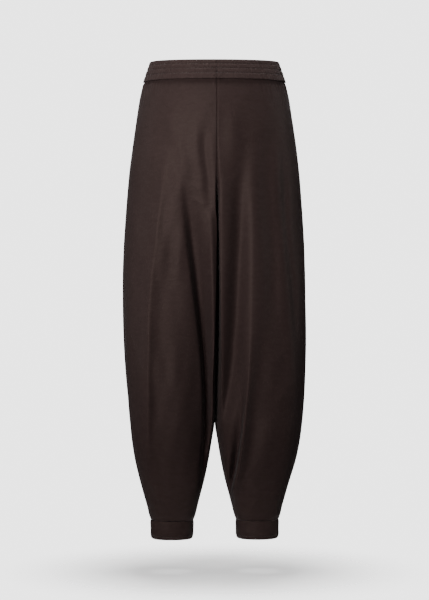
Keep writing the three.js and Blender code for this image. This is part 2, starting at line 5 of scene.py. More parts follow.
import bpy
import numpy as np
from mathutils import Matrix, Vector


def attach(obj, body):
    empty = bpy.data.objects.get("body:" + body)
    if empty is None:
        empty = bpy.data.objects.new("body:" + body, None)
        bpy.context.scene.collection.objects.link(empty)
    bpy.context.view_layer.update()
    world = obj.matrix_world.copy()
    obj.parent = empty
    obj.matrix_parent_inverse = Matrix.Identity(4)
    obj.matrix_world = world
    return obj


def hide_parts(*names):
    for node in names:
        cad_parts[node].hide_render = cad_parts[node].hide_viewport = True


bl_info = {
    "name": "Barrel-leg trousers",
    "version": (1, 0, 0),
    "blender": (4, 5, 0),
    "location": "View3D > Sidebar > Trousers",
    "description": "Makes satin barrel-leg trousers with an elastic waistband and cuffs",
    "category": "Add Mesh",
}

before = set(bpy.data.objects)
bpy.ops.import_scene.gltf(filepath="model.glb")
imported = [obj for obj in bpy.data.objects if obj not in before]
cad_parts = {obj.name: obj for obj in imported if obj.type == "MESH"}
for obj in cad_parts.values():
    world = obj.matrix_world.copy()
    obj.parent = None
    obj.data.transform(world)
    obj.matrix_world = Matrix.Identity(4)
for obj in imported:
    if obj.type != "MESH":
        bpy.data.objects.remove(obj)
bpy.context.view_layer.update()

# The tables below are in millimetres
MM = 0.001

# Heights, measured from the middle of the waistband
WAIST_TOP = 20
WAIST_SEAM = -20
CROTCH = -276
CUFF_SEAM = -937.6
HEM = -978

# How square the rings are: 0 is an ellipse
BODY_SQUARE = 0.015
LEG_SQUARE = 0.03
CUFF_SQUARE = 0.01

# Where the cloth turns from the back or the front into the inner side of a leg, as a share of the way
# from the side seam to the inseam, and the share of the way to the centre seam there, above the crotch
CORNER = 0.8
CORNER_ON_BODY = 0.985

# How far behind the middle of a leg the lean in the table of rings is measured
LEAN_DEPTH = 50

# Rings of the worn shape: height, half the width over both legs, half the space between the legs, how
# far the cloth reaches behind and before the origin, how flat the leg's inner side is, and how far the
# space between the legs leans to the right leg at the lean depth behind its middle
RINGS = np.array(
    [
        (-20, 146, 0.16, 103.5, 97.5, 0.95, 0),
        (-60, 155.5, 0.16, 112, 103, 0.95, 0),
        (-120, 166, 0.16, 120, 107, 0.95, 0),
        (-200, 176.5, 0.16, 124, 109, 0.95, 0),
        (-285, 183, 0.04, 122, 110, 0.93, 0),
        (-305, 184.2, 0.04, 121.4, 110, 0.91, 1),
        (-370, 188, 0.04, 119, 110, 0.8, 1.5),
        (-460, 190.5, 0.04, 115, 109.5, 0.7, 2),
        (-560, 190, 0.04, 110, 107, 0.5, 2),
        (-660, 185.5, 0.04, 103.5, 101, 0.3, 2),
        (-715, 181.5, 0.04, 98.5, 94, 0.18, 2),
        (-740, 179, 1.0, 96, 91, 0.08, 1),
        (-770, 175.5, 5.6, 92.5, 85.5, 0.05, 0),
        (-810, 168.5, 12.3, 86, 77, 0.03, 0),
        (-850, 158.5, 20.5, 78, 67, 0, 0),
        (-890, 147.5, 31, 68.5, 55, 0, 0),
        (-925, 137.5, 40, 56.5, 42.5, 0, 0),
        (-940, 133.5, 45, 50, 37, 0, 0),
    ],
    dtype=[(name, float) for name in ("z", "side", "gap", "back", "front", "flat", "lean")],
)

# The centre seam goes down the middle and turns under the body to the crotch: row of the cloth's grid,
# height, and the share of the ring's depth that the seam still has
CENTRE_SEAM = np.array(
    [
        (0, -20.3, 1),
        (2, -76, 1),
        (4, -130, 1),
        (6, -180, 0.995),
        (8, -222, 0.97),
        (10, -254, 0.86),
        (12, -271, 0.52),
        (14, CROTCH, 0),
    ],
    dtype=[(name, float) for name in ("row", "z", "reach")],
)
CROTCH_ROW = 14
LAST_ROW = 34
PANEL_TOP = -20.3
PANEL_BOTTOM = -937.4

# Long folds that fall from the seat and the hips. x: distance from the centre plane at each height z.
# rise: how far the cloth stands out there, or how deep it sinks where it is negative.
# outer and inner: how far the fold reaches towards the side seam and towards the centre. A column with
# the same number at every height holds that number once.
BACK_LEFT_FOLDS = {
    "outer_ridge": {
        "z": [-150, -250, -360, -460, -565, -690, -795, -880],
        "x": [122, 125, 129, 139, 145, 147.5, 148, 138],
        "rise": [0, 6, 9, 10, 11, 11, 8, 0],
        "outer": [32, 28, 24, 22, 19, 16, 15, 18],
        "inner": [40, 32, 27, 25, 22, 20, 20, 24],
    },
    "ridge_line": {
        "z": [-170, -270, -340, -410, -480, -565, -690, -795, -860],
        "x": [110, 117, 126, 135, 141.5, 142, 142, 143, 138],
        "rise": [0, 1.8, 2.8, 3.4, 3.4, 3.4, 3.4, 2.6, 0],
        "outer": [5, 4.5, 4, 3.8, 3.8, 3.8, 3.8, 4, 5],
        "inner": [9, 9, 9, 9, 9, 8, 8, 8, 8],
    },
    "inner_crest": {
        "z": [-190, -270, -356, -418, -502, -565, -648, -732, -815, -870],
        "x": [82, 76, 67, 58, 46, 37.5, 31, 29, 34, 38],
        "rise": [0, 3, 5, 6, 6, 6, 6, 6, 4, 1],
        "outer": [30, 30, 30, 30, 28, 26, 24, 22, 20, 18],
        "inner": [12, 10, 9, 8, 7, 6, 5, 5, 6, 8],
    },
    "inner_hollow": {
        "z": [-190, -255, -320, -380, -440, -502, -565, -628, -690, -752, -815, -870],
        "x": [68, 61, 53, 46, 40, 33, 26.5, 22.5, 20.5, 20.5, 25, 30],
        "rise": [0, -4, -9, -13, -15, -17, -20, -22, -23, -20, -11, -1],
        "outer": [14, 12, 11, 10, 9, 8, 7, 6, 5.5, 5.5, 7, 9],
        "inner": [22, 20, 18, 17, 16, 15, 14, 13, 12, 10, 9, 9],
    },
    "inner_slope": {
        "z": [-250, -340, -440, -502, -565, -690, -780, -860],
        "x": [50, 42, 35, 31, 28, 25, 27, 34],
        "rise": [0, -6, -12, -16, -20, -24, -20, 0],
        "outer": [38, 38, 36, 36, 36, 34, 32, 30],
        "inner": [16, 16, 15, 14, 14, 12, 12, 14],
    },
    "inner_roll": {
        "z": [-280, -340, -440, -540, -640, -700, -750],
        "x": [14, 11, 9, 7.5, 6.5, 6, 6],
        "rise": [0, 5, 8, 9, 8, 6, 0],
        "outer": [9, 8, 7, 6, 5.5, 5, 5],
        "inner": 8,
    },
    "crotch_hollow": {
        "z": [-120, -160, -205, -250, -310],
        "x": [32, 27, 22, 18, 14],
        "rise": [0, -2.5, -4, -3, 0],
        "outer": 10,
        "inner": [9, 9, 9, 8, 8],
    },
}
BACK_RIGHT_FOLDS = {
    "inner_edge": {
        "z": [-210, -260, -356, -481, -600, -700, -760],
        "x": [12, 11, 9, 8, 7, 6, 6],
        "rise": [0, 3, 6, 9, 9, 7, 0],
        "outer": [20, 20, 18, 15, 13, 11, 10],
        "inner": 8,
    },
    "inner_hollow": {
        "z": [-140, -200, -260, -333, -412, -500, -565, -628, -680, -740],
        "x": [54, 51, 48, 46, 44, 42, 38, 32, 24, 14],
        "rise": [0, -4, -8, -11, -13, -15, -16, -16, -13, 0],
        "outer": [17, 16, 16, 16, 16, 16, 16, 17, 17, 16],
        "inner": [16, 16, 17, 17, 17, 16, 15, 14, 12, 10],
    },
    "middle_crest": {
        "z": [-150, -272, -398, -481, -544, -606, -669, -711, -773, -826, -867, -900],
        "x": [78, 76, 75, 73, 70, 66, 62.4, 60.5, 56.6, 50, 41.5, 33],
        "rise": [0, 5, 8, 10, 11, 12, 13, 14, 14, 13, 10, 3],
        "outer": [36, 34, 30, 26, 22, 17, 13, 11, 11, 12, 14, 16],
        "inner": [24, 22, 20, 18, 16, 12, 8, 6, 5, 4.5, 4.5, 6],
    },
    "crest_line": {
        "z": [-540, -600, -669, -711, -773, -826, -867, -900],
        "x": [70, 66, 62.4, 60.5, 56.6, 50, 41.5, 33],
        "rise": [0, 1.5, 2.6, 2.8, 2.8, 2.8, 2.2, 0],
        "outer": 6,
        "inner": 3,
    },
    "low_hollow": {
        "z": [-680, -730, -775, -815, -850, -880, -905],
        "x": [53, 50.5, 47.5, 43.5, 39, 34.5, 31],
        "rise": [0, -9, -20, -29, -30, -20, 0],
        "outer": [6, 5, 4.5, 4, 4, 4, 5],
        "inner": [14, 14, 13, 12, 11, 9, 8],
    },
    "knee_drape": {
        "z": [-600, -681, -756, -829, -885],
        "x": [150, 133, 104, 82, 70],
        "rise": [0, 2, 3, 3, 0],
        "outer": [22, 22, 22, 22, 20],
        "inner": [20, 20, 19, 18, 18],
    },
    "outer_crest": {
        "z": [-150, -220, -300, -356, -418, -523, -646, -732, -800],
        "x": [126, 130, 134, 138, 145, 153.7, 165, 164, 155],
        "rise": [0, 2, 3, 3, 3, 4, 5, 3, 0],
        "outer": [9, 8, 8, 8, 8, 9, 10, 10, 12],
        "inner": [20, 18, 18, 20, 22, 22, 22, 22, 22],
    },
    "outer_hollow": {
        "z": [-120, -200, -272, -398, -481, -600],
        "x": [104, 106, 108, 114, 121, 128],
        "rise": [0, -3, -4, -4, -3, 0],
        "outer": [16, 15, 15, 16, 18, 20],
        "inner": 18,
    },
    "side_hollow": {
        "z": [-150, -210, -260, -320, -377, -440, -500, -565, -640],
        "x": [136, 138, 140, 143, 148, 157, 162, 163, 168],
        "rise": [0, -2.5, -4, -4, -4, -3, -3, -2, 0],
        "outer": 9,
        "inner": [8, 7, 7, 7, 7, 8, 8, 9, 9],
    },
}
FRONT_LEFT_FOLDS = {
    "outer_ridge": {
        "z": [-140, -240, -360, -480, -600, -720, -820, -880],
        "x": [112, 116, 122, 131, 137, 138, 130, 120],
        "rise": [0, 4, 6, 7, 7, 6, 4, 0],
        "outer": [28, 26, 24, 22, 20, 18, 18, 20],
        "inner": [34, 32, 28, 26, 24, 20, 20, 22],
    },
    "inner_crest": {
        "z": [-210, -300, -400, -500, -600, -700, -790, -860],
        "x": [66, 64, 58, 50, 43, 38, 40, 46],
        "rise": [0, 4, 6, 8, 9, 9, 7, 1],
        "outer": [28, 28, 26, 24, 22, 20, 18, 18],
        "inner": [14, 11, 9, 8, 7, 7, 7, 9],
    },
    "inner_hollow": {
        "z": [-210, -300, -400, -500, -600, -700, -790, -860],
        "x": [50, 46, 38, 31, 25, 21, 22, 30],
        "rise": [0, -4, -7, -9, -10, -9, -5, 0],
        "outer": [9, 9, 9, 9, 9, 8, 8, 8],
        "inner": [16, 16, 16, 14, 12, 11, 11, 11],
    },
}
FRONT_RIGHT_FOLDS = {
    "outer_ridge": {
        "z": [-160, -260, -380, -500, -620, -730, -810, -870],
        "x": [124, 128, 134, 142, 146, 143, 134, 126],
        "rise": [0, 3, 5, 6, 6, 5, 3, 0],
        "outer": [26, 24, 22, 20, 18, 17, 18, 18],
        "inner": [32, 30, 28, 26, 22, 20, 20, 20],
    },
    "middle_crest": {
        "z": [-180, -290, -400, -510, -620, -720, -810, -870],
        "x": [84, 82, 78, 72, 66, 61, 58, 60],
        "rise": [0, 3, 5, 7, 8, 9, 8, 2],
        "outer": [30, 28, 26, 24, 22, 20, 18, 16],
        "inner": [20, 18, 16, 13, 11, 9, 8, 9],
    },
    "inner_hollow": {
        "z": [-180, -290, -400, -510, -620, -720, -810, -870],
        "x": [52, 48, 44, 40, 38, 38, 40, 46],
        "rise": [0, -4, -6, -7, -8, -9, -7, 0],
        "outer": [14, 13, 12, 11, 10, 9, 8, 8],
        "inner": [16, 16, 15, 14, 13, 12, 10, 9],
    },
}

# The lower part of the right leg's middle fold lies over the hollow beside it. shift: how far its crest
# moves towards the centre.
BACK_RIGHT_LYING = {
    "z": [-640, -711, -773, -826, -867, -900],
    "x": [64, 60.5, 56.6, 50, 41.5, 33],
    "shift": [0, 3, 6, 7, 6, 0],
    "outer": [14, 13, 12, 12, 11, 10],
    "inner": 5,
}

# Short creases. Each runs from x0, z0 to x1, z1 and stands out by rise, over width on each side.
CREASE_COLUMNS = ("x0", "z0", "x1", "z1", "rise", "width")
BACK_LEFT_CREASES = [
    (140, -846, 112, -903, 1.6, 5),
    (122, -872, 92, -924, 1.2, 4),
    (134, -888, 120, -926, 1.2, 4),
    (76, -890, 84, -926, 1.0, 5),
    (58, -232, 28, -252, 0.7, 5),
    (52, -262, 22, -288, 0.8, 5),
    (1.5, -20, 9, -33, 1.5, 2.2),
    (150, -330, 128, -352, 0.5, 6),
    (162, -470, 138, -486, 0.5, 6),
    (168, -600, 140, -640, 0.6, 7),
]
BACK_RIGHT_CREASES = [
    (44, -918, 70, -878, 1.6, 5),
    (62, -927, 96, -880, 1.2, 5),
    (104, -915, 128, -862, 1.0, 6),
    (90, -800, 60, -850, 0.8, 6),
    (48, -212, 20, -240, 0.7, 5),
    (2, -20, 8, -30, 1.2, 2.2),
    (150, -560, 120, -610, 0.8, 7),
    (160, -640, 118, -700, 0.9, 7),
    (146, -240, 124, -262, 0.5, 6),
]
FRONT_LEFT_CREASES = [
    (132, -848, 104, -902, 1.5, 5),
    (66, -868, 84, -922, 1.2, 5),
    (46, -236, 16, -262, 1.0, 6),
    (60, -262, 20, -300, 1.0, 6),
    (150, -520, 124, -560, 0.7, 7),
    (156, -650, 120, -690, 0.8, 7),
]
FRONT_RIGHT_CREASES = [
    (126, -852, 100, -908, 1.4, 5),
    (60, -880, 82, -926, 1.2, 5),
    (42, -228, 14, -256, 1.0, 6),
    (64, -270, 24, -306, 0.9, 6),
    (152, -560, 118, -604, 0.8, 7),
    (150, -700, 116, -748, 0.8, 7),
]

# Soft folds at the side seams. turn: angle round the leg in degrees, from the side seam to the seat.
LEFT_SIDE_FOLDS = {
    "hip_fold": {
        "z": [-170, -280, -400, -520, -640, -740],
        "turn": [-14, -18, -22, -24, -22, -16],
        "rise": [0, 3, 5, 5, 4, 0],
        "reach": [20, 20, 20, 22, 22, 24],
    },
    "knee_hollow": {
        "z": [-420, -540, -660, -780, -860],
        "turn": [6, 2, -4, -10, -14],
        "rise": [0, -3, -4, -4, 0],
        "reach": [16, 16, 16, 14, 12],
    },
}
RIGHT_SIDE_FOLDS = {
    "hip_fold": {
        "z": [-190, -300, -420, -560, -680],
        "turn": [-20, -22, -26, -30, -34],
        "rise": [0, 4, 5, 5, 0],
        "reach": [20, 20, 20, 22, 24],
    },
    "knee_fold": {
        "z": [-480, -600, -700, -800, -870],
        "turn": [10, 4, 0, -2, -2],
        "rise": [0, 3, 5, 4, 0],
        "reach": [18, 18, 18, 16, 14],
    },
}
SIDE_FOLDS = {1: LEFT_SIDE_FOLDS, -1: RIGHT_SIDE_FOLDS}

# The four panels. half: 1 is the wearer's left. face: 1 is the back. lines: folds that a column of the
# grid follows, each with the angle that it keeps where the fold is flat. seed: for the waist gathers and
# the slow waves.
PANELS = {
    "back_left_panel": {
        "half": 1,
        "face": 1,
        "folds": BACK_LEFT_FOLDS,
        "creases": BACK_LEFT_CREASES,
        "lines": [("outer_ridge", 50), ("inner_crest", 110), ("inner_hollow", 132)],
        "seed": 3,
    },
    "back_right_panel": {
        "half": -1,
        "face": 1,
        "folds": BACK_RIGHT_FOLDS,
        "creases": BACK_RIGHT_CREASES,
        "lying": BACK_RIGHT_LYING,
        "lines": [("outer_crest", 45), ("middle_crest", 100), ("inner_hollow", 135)],
        "seed": 5,
    },
    "front_left_panel": {
        "half": 1,
        "face": -1,
        "folds": FRONT_LEFT_FOLDS,
        "creases": FRONT_LEFT_CREASES,
        "lines": [("outer_ridge", 50), ("inner_crest", 105), ("inner_hollow", 130)],
        "seed": 7,
    },
    "front_right_panel": {
        "half": -1,
        "face": -1,
        "folds": FRONT_RIGHT_FOLDS,
        "creases": FRONT_RIGHT_CREASES,
        "lines": [("outer_ridge", 50), ("middle_crest", 95), ("inner_hollow", 128)],
        "seed": 11,
    },
}

# How far a step round a leg reaches, in radians, where the cloth's direction is measured
TURN_STEP = 0.002
# Share of the way from a seam over which the folds fade in
SEAM_FADE = 0.12
# How far and how widely the cloth turns: in at a seam, in under the waistband, up inside the waistband,
# in at the seam of a cuff, and out above a cuff, which is at a height over its seam
SEAM_ROLL = (1.5, 1.5)
WAIST_ROLL = (3.2, 4.5)
WAIST_TUCK = (7, 2)
CUFF_PINCH = (1.6, 1.3)
CUFF_PUFF = (1, 10)
CUFF_PUFF_HEIGHT = 12
# The two halves close on each other at the centre seam: height from the crotch where that starts, below
# it, and the height over which it is eased in
CLOSING = (-30, 12)

# Gathers under the waistband. The first of each pair is for the middle of a panel, the second for its
# side seam, and the fade is the distance from one to the other.
GATHER_FADE = 95
GATHER_SIZES = (0.35, 2.1)
GATHER_LENGTHS = (28, 90)
# Least and most width of a gather, and distance from one to the next
GATHER_WIDTHS = (1.9, 3.2)
GATHER_SPACING = (5, 10)
# Slow unevenness of the panels and of the cuffs: number of waves and height of one
SLOW_WAVES = (9, 0.28)
CUFF_WAVES = (6, 0.5)
# Seeds of the random draws
WAVE_SEED = 100
BAND_SEED = 21
CUFF_SEED = 31

# Grid of a panel: cells between its marked columns, extra columns beside the side seam in radians, rows
# near both ends, where the rest begins, and how many rows that has
PANEL_CELLS = [40, 46, 22, 26, 34]
SEAM_COLUMNS = (0.004, 0.008, 0.013, 0.019)
END_ROWS = np.array([0, 0.03, 0.06, 0.09, 0.12])
FIRST_ROW = 0.16
PANEL_ROWS = 224

# Waistband: half its width and its reach behind and before the origin, at its top and at its foot
BAND_TOP_SIZE = (133.5, 94, 89)
BAND_FOOT_SIZE = (148.5, 106.5, 100.5)
# Heights of its rows of stitches and of the middles of the channels between them
BAND_STITCH_ROWS = (10.8, 1.6, -8.2)
BAND_CHANNELS = (15.4, 6.2, -3.3, -14)
# Distances from the centre back at which the elastic is tacked, and the height of the tacks
BAND_TACKS = (98, -98)
BAND_TACK_HEIGHT = -2
# Levels up its outside, then down its inside with how far each stands out from the ring
BAND_OUTSIDE = np.array([-20, -19.6, -19, *range(-18, 19), 19, 19.6])
BAND_INSIDE = np.array(
    [(20, -1.4), (19.5, -2.6), (10, -3), (0, -3), (-10, -3), (-18, -2.8), (-19, -2.2)]
)
BAND_COLUMNS = 1100

# Cuffs: middle of the ring and half its sizes, depth from the seam to the fold, height of the stitches
CUFF_CENTRE = (89.6, 6.5)
CUFF_HALF = (45.2, 44)
CUFF_DEPTH = 40
CUFF_STITCH_ROW = -970
CUFF_COLUMNS = 360

# Levels of a cuff, down its outside to the fold at the hem and up its inside: depth below its seam and
# how far it stands out from its ring
CUFF_OUTSIDE = {
    "down": [0.3, 0.8, 1.6, 3.5, 7, 12, 18, 24, 29, 31, 32, 33, 34, 35.5, 37, 38.3, 39.2, 39.7],
    "out": [-1.6, -0.6, 0, 0.3, 0.4, 0.3, 0.3, 0.3, 0.3, 0.1]
    + [-0.3, -0.7, -0.7, -0.9, -1.5, -2.4, -3.4, -4.4],
}
CUFF_INSIDE = {"down": [39.4, 36, 25, 12, 4, 1], "out": [-5, -4.2, -3.4, -3.2, -3.2, -3]}

# One stitch: share of its length and of its thickness at each ring
STITCH_RINGS = ((-0.5, 0.35), (-0.32, 1), (0.32, 1), (0.5, 0.35))
STITCH_SIDES = 5
STITCH_RADIUS = 0.26
# How far the middle of a stitch stands out from the cloth
STITCH_LIFT = 0.12

# Softboxes: name, place, the point that each faces, width and height, watts, and spread in degrees
LIGHTS = [
    ("key", (0.9, 1.78, 0), (0, 0, -0.32), (0.9, 0.9), 4.9, 60),
    ("fill", (-0.15, 1.4, 0.3), (0, 0, -0.2), (0.5, 0.5), 1.5, 180),
    ("left", (1.5, 0, 0), (0, 0, -0.3), (0.3, 1.2), 4, 180),
    ("right", (-1.5, 0.05, 0), (0, 0, -0.3), (0.3, 1.2), 5, 180),
    ("top", (0, 0, 1.4), (0, 0, -0.2), (0.6, 0.6), 3.5, 50),
    ("front", (-0.25, -2, 0), (0, 0, -0.3), (0.8, 0.9), 4.6, 58),
    ("front_fill", (0.2, -1.4, 0.3), (0, 0, -0.2), (0.4, 0.4), 1.6, 180),
]

# Floor, in metres: radius, and how far it lies below the hem, which hangs clear of it
FLOOR_RADIUS = 0.5
FLOOR_DROP = 0.07
# Strength of the white surroundings as a light and as the camera sees them
WORLD_LIGHT = 0.015
WORLD_SEEN = 3.2

# Camera: distance and height in metres, degrees round from the front, and the point that it faces
CAMERA_DISTANCE = 5.2
CAMERA_HEIGHT = -0.31
CAMERA_AZIMUTH = 177.2
CAMERA_AIM = (0, 0, -0.4778)
SENSOR = 36
# The photograph's height in picture elements, and the size of one at the origin in millimetres
PHOTO_HEIGHT = 600
PIXEL = 2.0965


def colour_setting(name, description, default):
    """A colour that a user can change."""
    return bpy.props.FloatVectorProperty(
        name=name, description=description, default=default, size=3, subtype="COLOR"
    )


def length_setting(name, description, default):
    """A length that a user can change, in metres."""
    return bpy.props.FloatProperty(name=name, description=description, default=default, unit="LENGTH")


class TrouserSettings(bpy.types.PropertyGroup):
    """Sizes and colours that a user would change."""

    cloth_thickness: length_setting("Cloth thickness", "Thickness of the panels' satin", 0.0009)
    # Painted shade and sheen: satin_dark is painted into the crinkles' hollows and satin_light onto
    # their ridges, mixed with slow random changes of colour
    satin_dark: colour_setting(
        "Satin, darker", "Colour in the hollows of the crinkle", (0.034, 0.0212, 0.0202)
    )
    satin_light: colour_setting(
        "Satin, lighter", "Colour on the ridges of the crinkle", (0.044, 0.0288, 0.0272)
    )
    wrong_side: colour_setting(
        "Wrong side", "Colour of the duller inside of the cloth", (0.034, 0.024, 0.022)
    )
    thread: colour_setting("Thread", "Colour of the sewing thread", (0.03, 0.02, 0.018))
    band_gathers: bpy.props.IntProperty(
        name="Waist gathers", description="Number of gathers round the waistband", default=156
    )
    stitch_length: length_setting("Stitch length", "Length of one stitch", 0.0024)
    stitch_pitch: length_setting("Stitch pitch", "Distance from one stitch to the next", 0.0034)


def ease(t):
    """Smooth step from 0 to 1."""
    s = np.clip(t, 0, 1)
    return s * s * (3 - 2 * s)


def mix(a, b, share):
    """Value between a and b."""
    return a + (b - a) * share


def through(keys, values, key):
    """Smooth curve through the values at the keys, level past both ends."""
    keys = np.asarray(keys, float)
    values = np.broadcast_to(np.asarray(values, float), keys.shape)
    if keys[0] > keys[-1]:
        keys, values = keys[::-1], values[::-1]
    last = len(keys) - 1
    before = np.maximum(np.arange(last + 1) - 1, 0)
    after = np.minimum(np.arange(last + 1) + 1, last)
    slopes = (values[after] - values[before]) / (keys[after] - keys[before])
    key = np.clip(key, keys[0], keys[-1])
    i = np.clip(np.searchsorted(keys, key, side="right") - 1, 0, last - 1)
    span = keys[i + 1] - keys[i]
    t = (key - keys[i]) / span
    return (
        (2 * t**3 - 3 * t**2 + 1) * values[i]
        + (t**3 - 2 * t**2 + t) * span * slopes[i]
        + (3 * t**2 - 2 * t**3) * values[i + 1]
        + (t**3 - t**2) * span * slopes[i + 1]
    )


def at(table, name, z):
    """One column of a table at a height."""
    return through(table["z"], table[name], z)


def ring(name, z):
    """One size of the worn shape's ring at a height."""
    return at(RINGS, name, z)


def bell(distance, width):
    """A round bump: 1 at its middle, and faded away past twice its width."""
    return np.exp(-((distance / width) ** 2))


def squared_cos(angle, square):
    """Cosine for a ring that is squarer than an ellipse."""
    return (np.cos(angle) - square * np.cos(3 * angle)) / (1 - square)


def squared_sin(angle, square):
    """Sine for a ring that is squarer than an ellipse."""
    return (np.sin(angle) + square * np.sin(3 * angle)) / (1 - square)


def centre_height(row):
    """Height of a grid row at the centre seam and, past the crotch, at the inseam."""
    share = (row - CROTCH_ROW) / (LAST_ROW - CROTCH_ROW)
    seam = through(CENTRE_SEAM["row"], CENTRE_SEAM["z"], row)
    return np.where(row <= CROTCH_ROW, seam, mix(CROTCH, PANEL_BOTTOM, share))


def centre_reach(row):
    """Share of the ring's depth that the centre seam has at a grid row."""
    reach = through(CENTRE_SEAM["row"], CENTRE_SEAM["reach"], row)
    return np.where(row < CROTCH_ROW, reach, 0)


def softened(value, row, turn):
    """Mean of a value over nearby rows, which rounds the crotch away from the seam."""
    ends = np.minimum(1, np.minimum(row / 6, (LAST_ROW - row) / 6))
    spread = 4 * ends * np.maximum(0, 1 - np.abs(turn) / math.pi) ** 0.7
    return sum(value(row + k * spread) for k in (-1, -0.5, 0, 0.5, 1)) / 5


def body_angle(turn):
    """Angle round the whole body, from the side to the centre, for an angle round the leg."""
    part = np.abs(turn) / math.pi
    past = mix(CORNER_ON_BODY, 1, (part - CORNER) / (1 - CORNER))
    share = np.where(part < CORNER, part / CORNER * CORNER_ON_BODY, past)
    return np.sign(turn) * share * math.pi / 2


def wall_lean(half, y, z):
    """How far a leg's inner wall moves out at a depth, because the space between the legs leans."""
    middle = (ring("back", z) - ring("front", z)) / 2
    return -half * np.maximum(0, ring("lean", z)) * (y - middle) / LEAN_DEPTH


def plain_point(half, turn, row):
    """Point of the worn shape without folds, with x above 0 for both halves. turn: angle round the leg
    from the side seam, above 0 at the back. row: row of the cloth's grid."""
    part = np.minimum(1, np.abs(turn) / math.pi)
    side_z = mix(PANEL_TOP, PANEL_BOTTOM, row / LAST_ROW)
    z = mix(side_z, softened(centre_height, row, turn), part**2)
    reach = np.clip(softened(centre_reach, row, turn), 0, 1)
    side, gap = ring("side", z), ring("gap", z)
    back, front = ring("back", z), ring("front", z)
    middle = (back - front) / 2
    depth = np.where(turn > 0, back, front)
    around = body_angle(turn)
    body_x = gap + (side - gap) * squared_cos(around, BODY_SQUARE)
    body_y = depth * squared_sin(around, BODY_SQUARE)
    round_x = (side + gap) / 2 + (side - gap) / 2 * squared_cos(turn, LEG_SQUARE)
    round_y = middle + (back + front) / 2 * squared_sin(turn, LEG_SQUARE)
    outer_turn = np.clip(turn / (CORNER * math.pi), -1, 1) * math.pi / 2
    wall_share = np.clip((part - CORNER) / (1 - CORNER), 0, 1)
    flat_x = gap + (side - gap) * squared_cos(outer_turn, BODY_SQUARE)
    flat_y = mix(depth * squared_sin(outer_turn, BODY_SQUARE), middle, wall_share)
    flat = ring("flat", z)
    leg_y = mix(round_y, flat_y, flat)
    leg_x = mix(round_x, flat_x, flat) + wall_lean(half, leg_y, z) * ((1 - np.cos(turn)) / 2) ** 4
    return mix(leg_x, body_x, reach), mix(leg_y, body_y, reach), z


def fold_part(fold, name, x, z):
    """One measure of a fold, which fades with the distance from the fold's line."""
    distance = x - at(fold, "x", z)
    width = np.where(distance > 0, at(fold, "outer", z), at(fold, "inner", z))
    return at(fold, name, z) * bell(distance, width)


def fold_rise(folds, x, z):
    """How far the long folds move the cloth back or forward."""
    total = np.zeros_like(x)
    for fold in folds.values():
        total += fold_part(fold, "rise", x, z)
    return total


def lie_over(panel, x, z):
    """How far the crest of a fold that lies over its hollow moves towards the centre."""
    return fold_part(panel["lying"], "shift", x, z) if "lying" in panel else 0


def crease_rise(creases, x, z):
    """How far the short creases move the cloth back or forward."""
    total = np.zeros_like(x)
    for row in creases:
        crease = dict(zip(CREASE_COLUMNS, row))
        run_x, run_z = crease["x1"] - crease["x0"], crease["z1"] - crease["z0"]
        length = math.hypot(run_x, run_z)
        along = ((x - crease["x0"]) * run_x + (z - crease["z0"]) * run_z) / length
        across = ((x - crease["x0"]) * run_z - (z - crease["z0"]) * run_x) / length
        taper = ease(along / (0.35 * length)) * ease((length - along) / (0.35 * length))
        total += crease["rise"] * taper * bell(across, crease["width"])
    return total


def side_rise(folds, turn, z):
    """How far the side folds move the cloth outwards."""
    total = np.zeros_like(z)
    for fold in folds.values():
        distance = np.degrees(turn) - at(fold, "turn", z)
        total += at(fold, "rise", z) * bell(distance, at(fold, "reach", z))
    return total


def cuff_puff(z):
    """How far a leg puffs out just above the cuff and rolls in to its seam."""
    height = z - CUFF_SEAM
    return rolled(height - CUFF_PUFF_HEIGHT, CUFF_PUFF) - rolled(height, CUFF_PINCH)


def waist_gathers(panel, turn, z):
    """Fine gathers that hang from the waist seam, each with its own place, depth and length."""
    rng = np.random.default_rng(panel["seed"])
    samples = np.linspace(0, math.pi * CORNER, 200)
    x, y, _ = plain_point(panel["half"], panel["face"] * samples, np.zeros(200))
    along = np.concatenate([[0], np.cumsum(np.hypot(np.diff(x), np.diff(y)))])
    place = np.interp(np.abs(turn), samples, along)
    width = along[-1]
    drop = PANEL_TOP - z
    total = np.zeros_like(z)
    centre = 1.5
    while centre < width - 2:
        to_side = math.exp(-((centre / GATHER_FADE) ** 2))
        size = mix(*GATHER_SIZES, to_side) * rng.uniform(0.4, 1.2)
        reach = mix(*GATHER_LENGTHS, to_side) * rng.uniform(0.5, 1.3)
        lean = rng.uniform(-0.05, 0.05)
        offset = place - centre - lean * drop
        total += size * bell(offset, rng.uniform(*GATHER_WIDTHS)) * (1 - ease(drop / reach))
        centre += rng.uniform(*GATHER_SPACING)
    return total


def slow_waves(panel, x, z):
    """Low, long unevenness that hanging cloth has between its folds."""
    rng = np.random.default_rng(panel["seed"] + WAVE_SEED)
    total = np.zeros_like(z)
    for _ in range(SLOW_WAVES[0]):
        across = rng.uniform(26, 80)
        down = rng.uniform(150, 420)
        lean = rng.uniform(-0.12, 0.12)
        phase = rng.uniform(0, 2 * math.pi, 2)
        wave = np.sin(2 * math.pi * (x + lean * z) / across + phase[0])
        total += SLOW_WAVES[1] * wave * np.sin(2 * math.pi * z / down + phase[1])
    return total * ease((PANEL_TOP - z) / 120) * ease((z - PANEL_BOTTOM) / 40)


def rolled(distance, roll):
    """How far the cloth turns at a distance from a seam, for a depth and a width."""
    return roll[0] * bell(distance, roll[1])


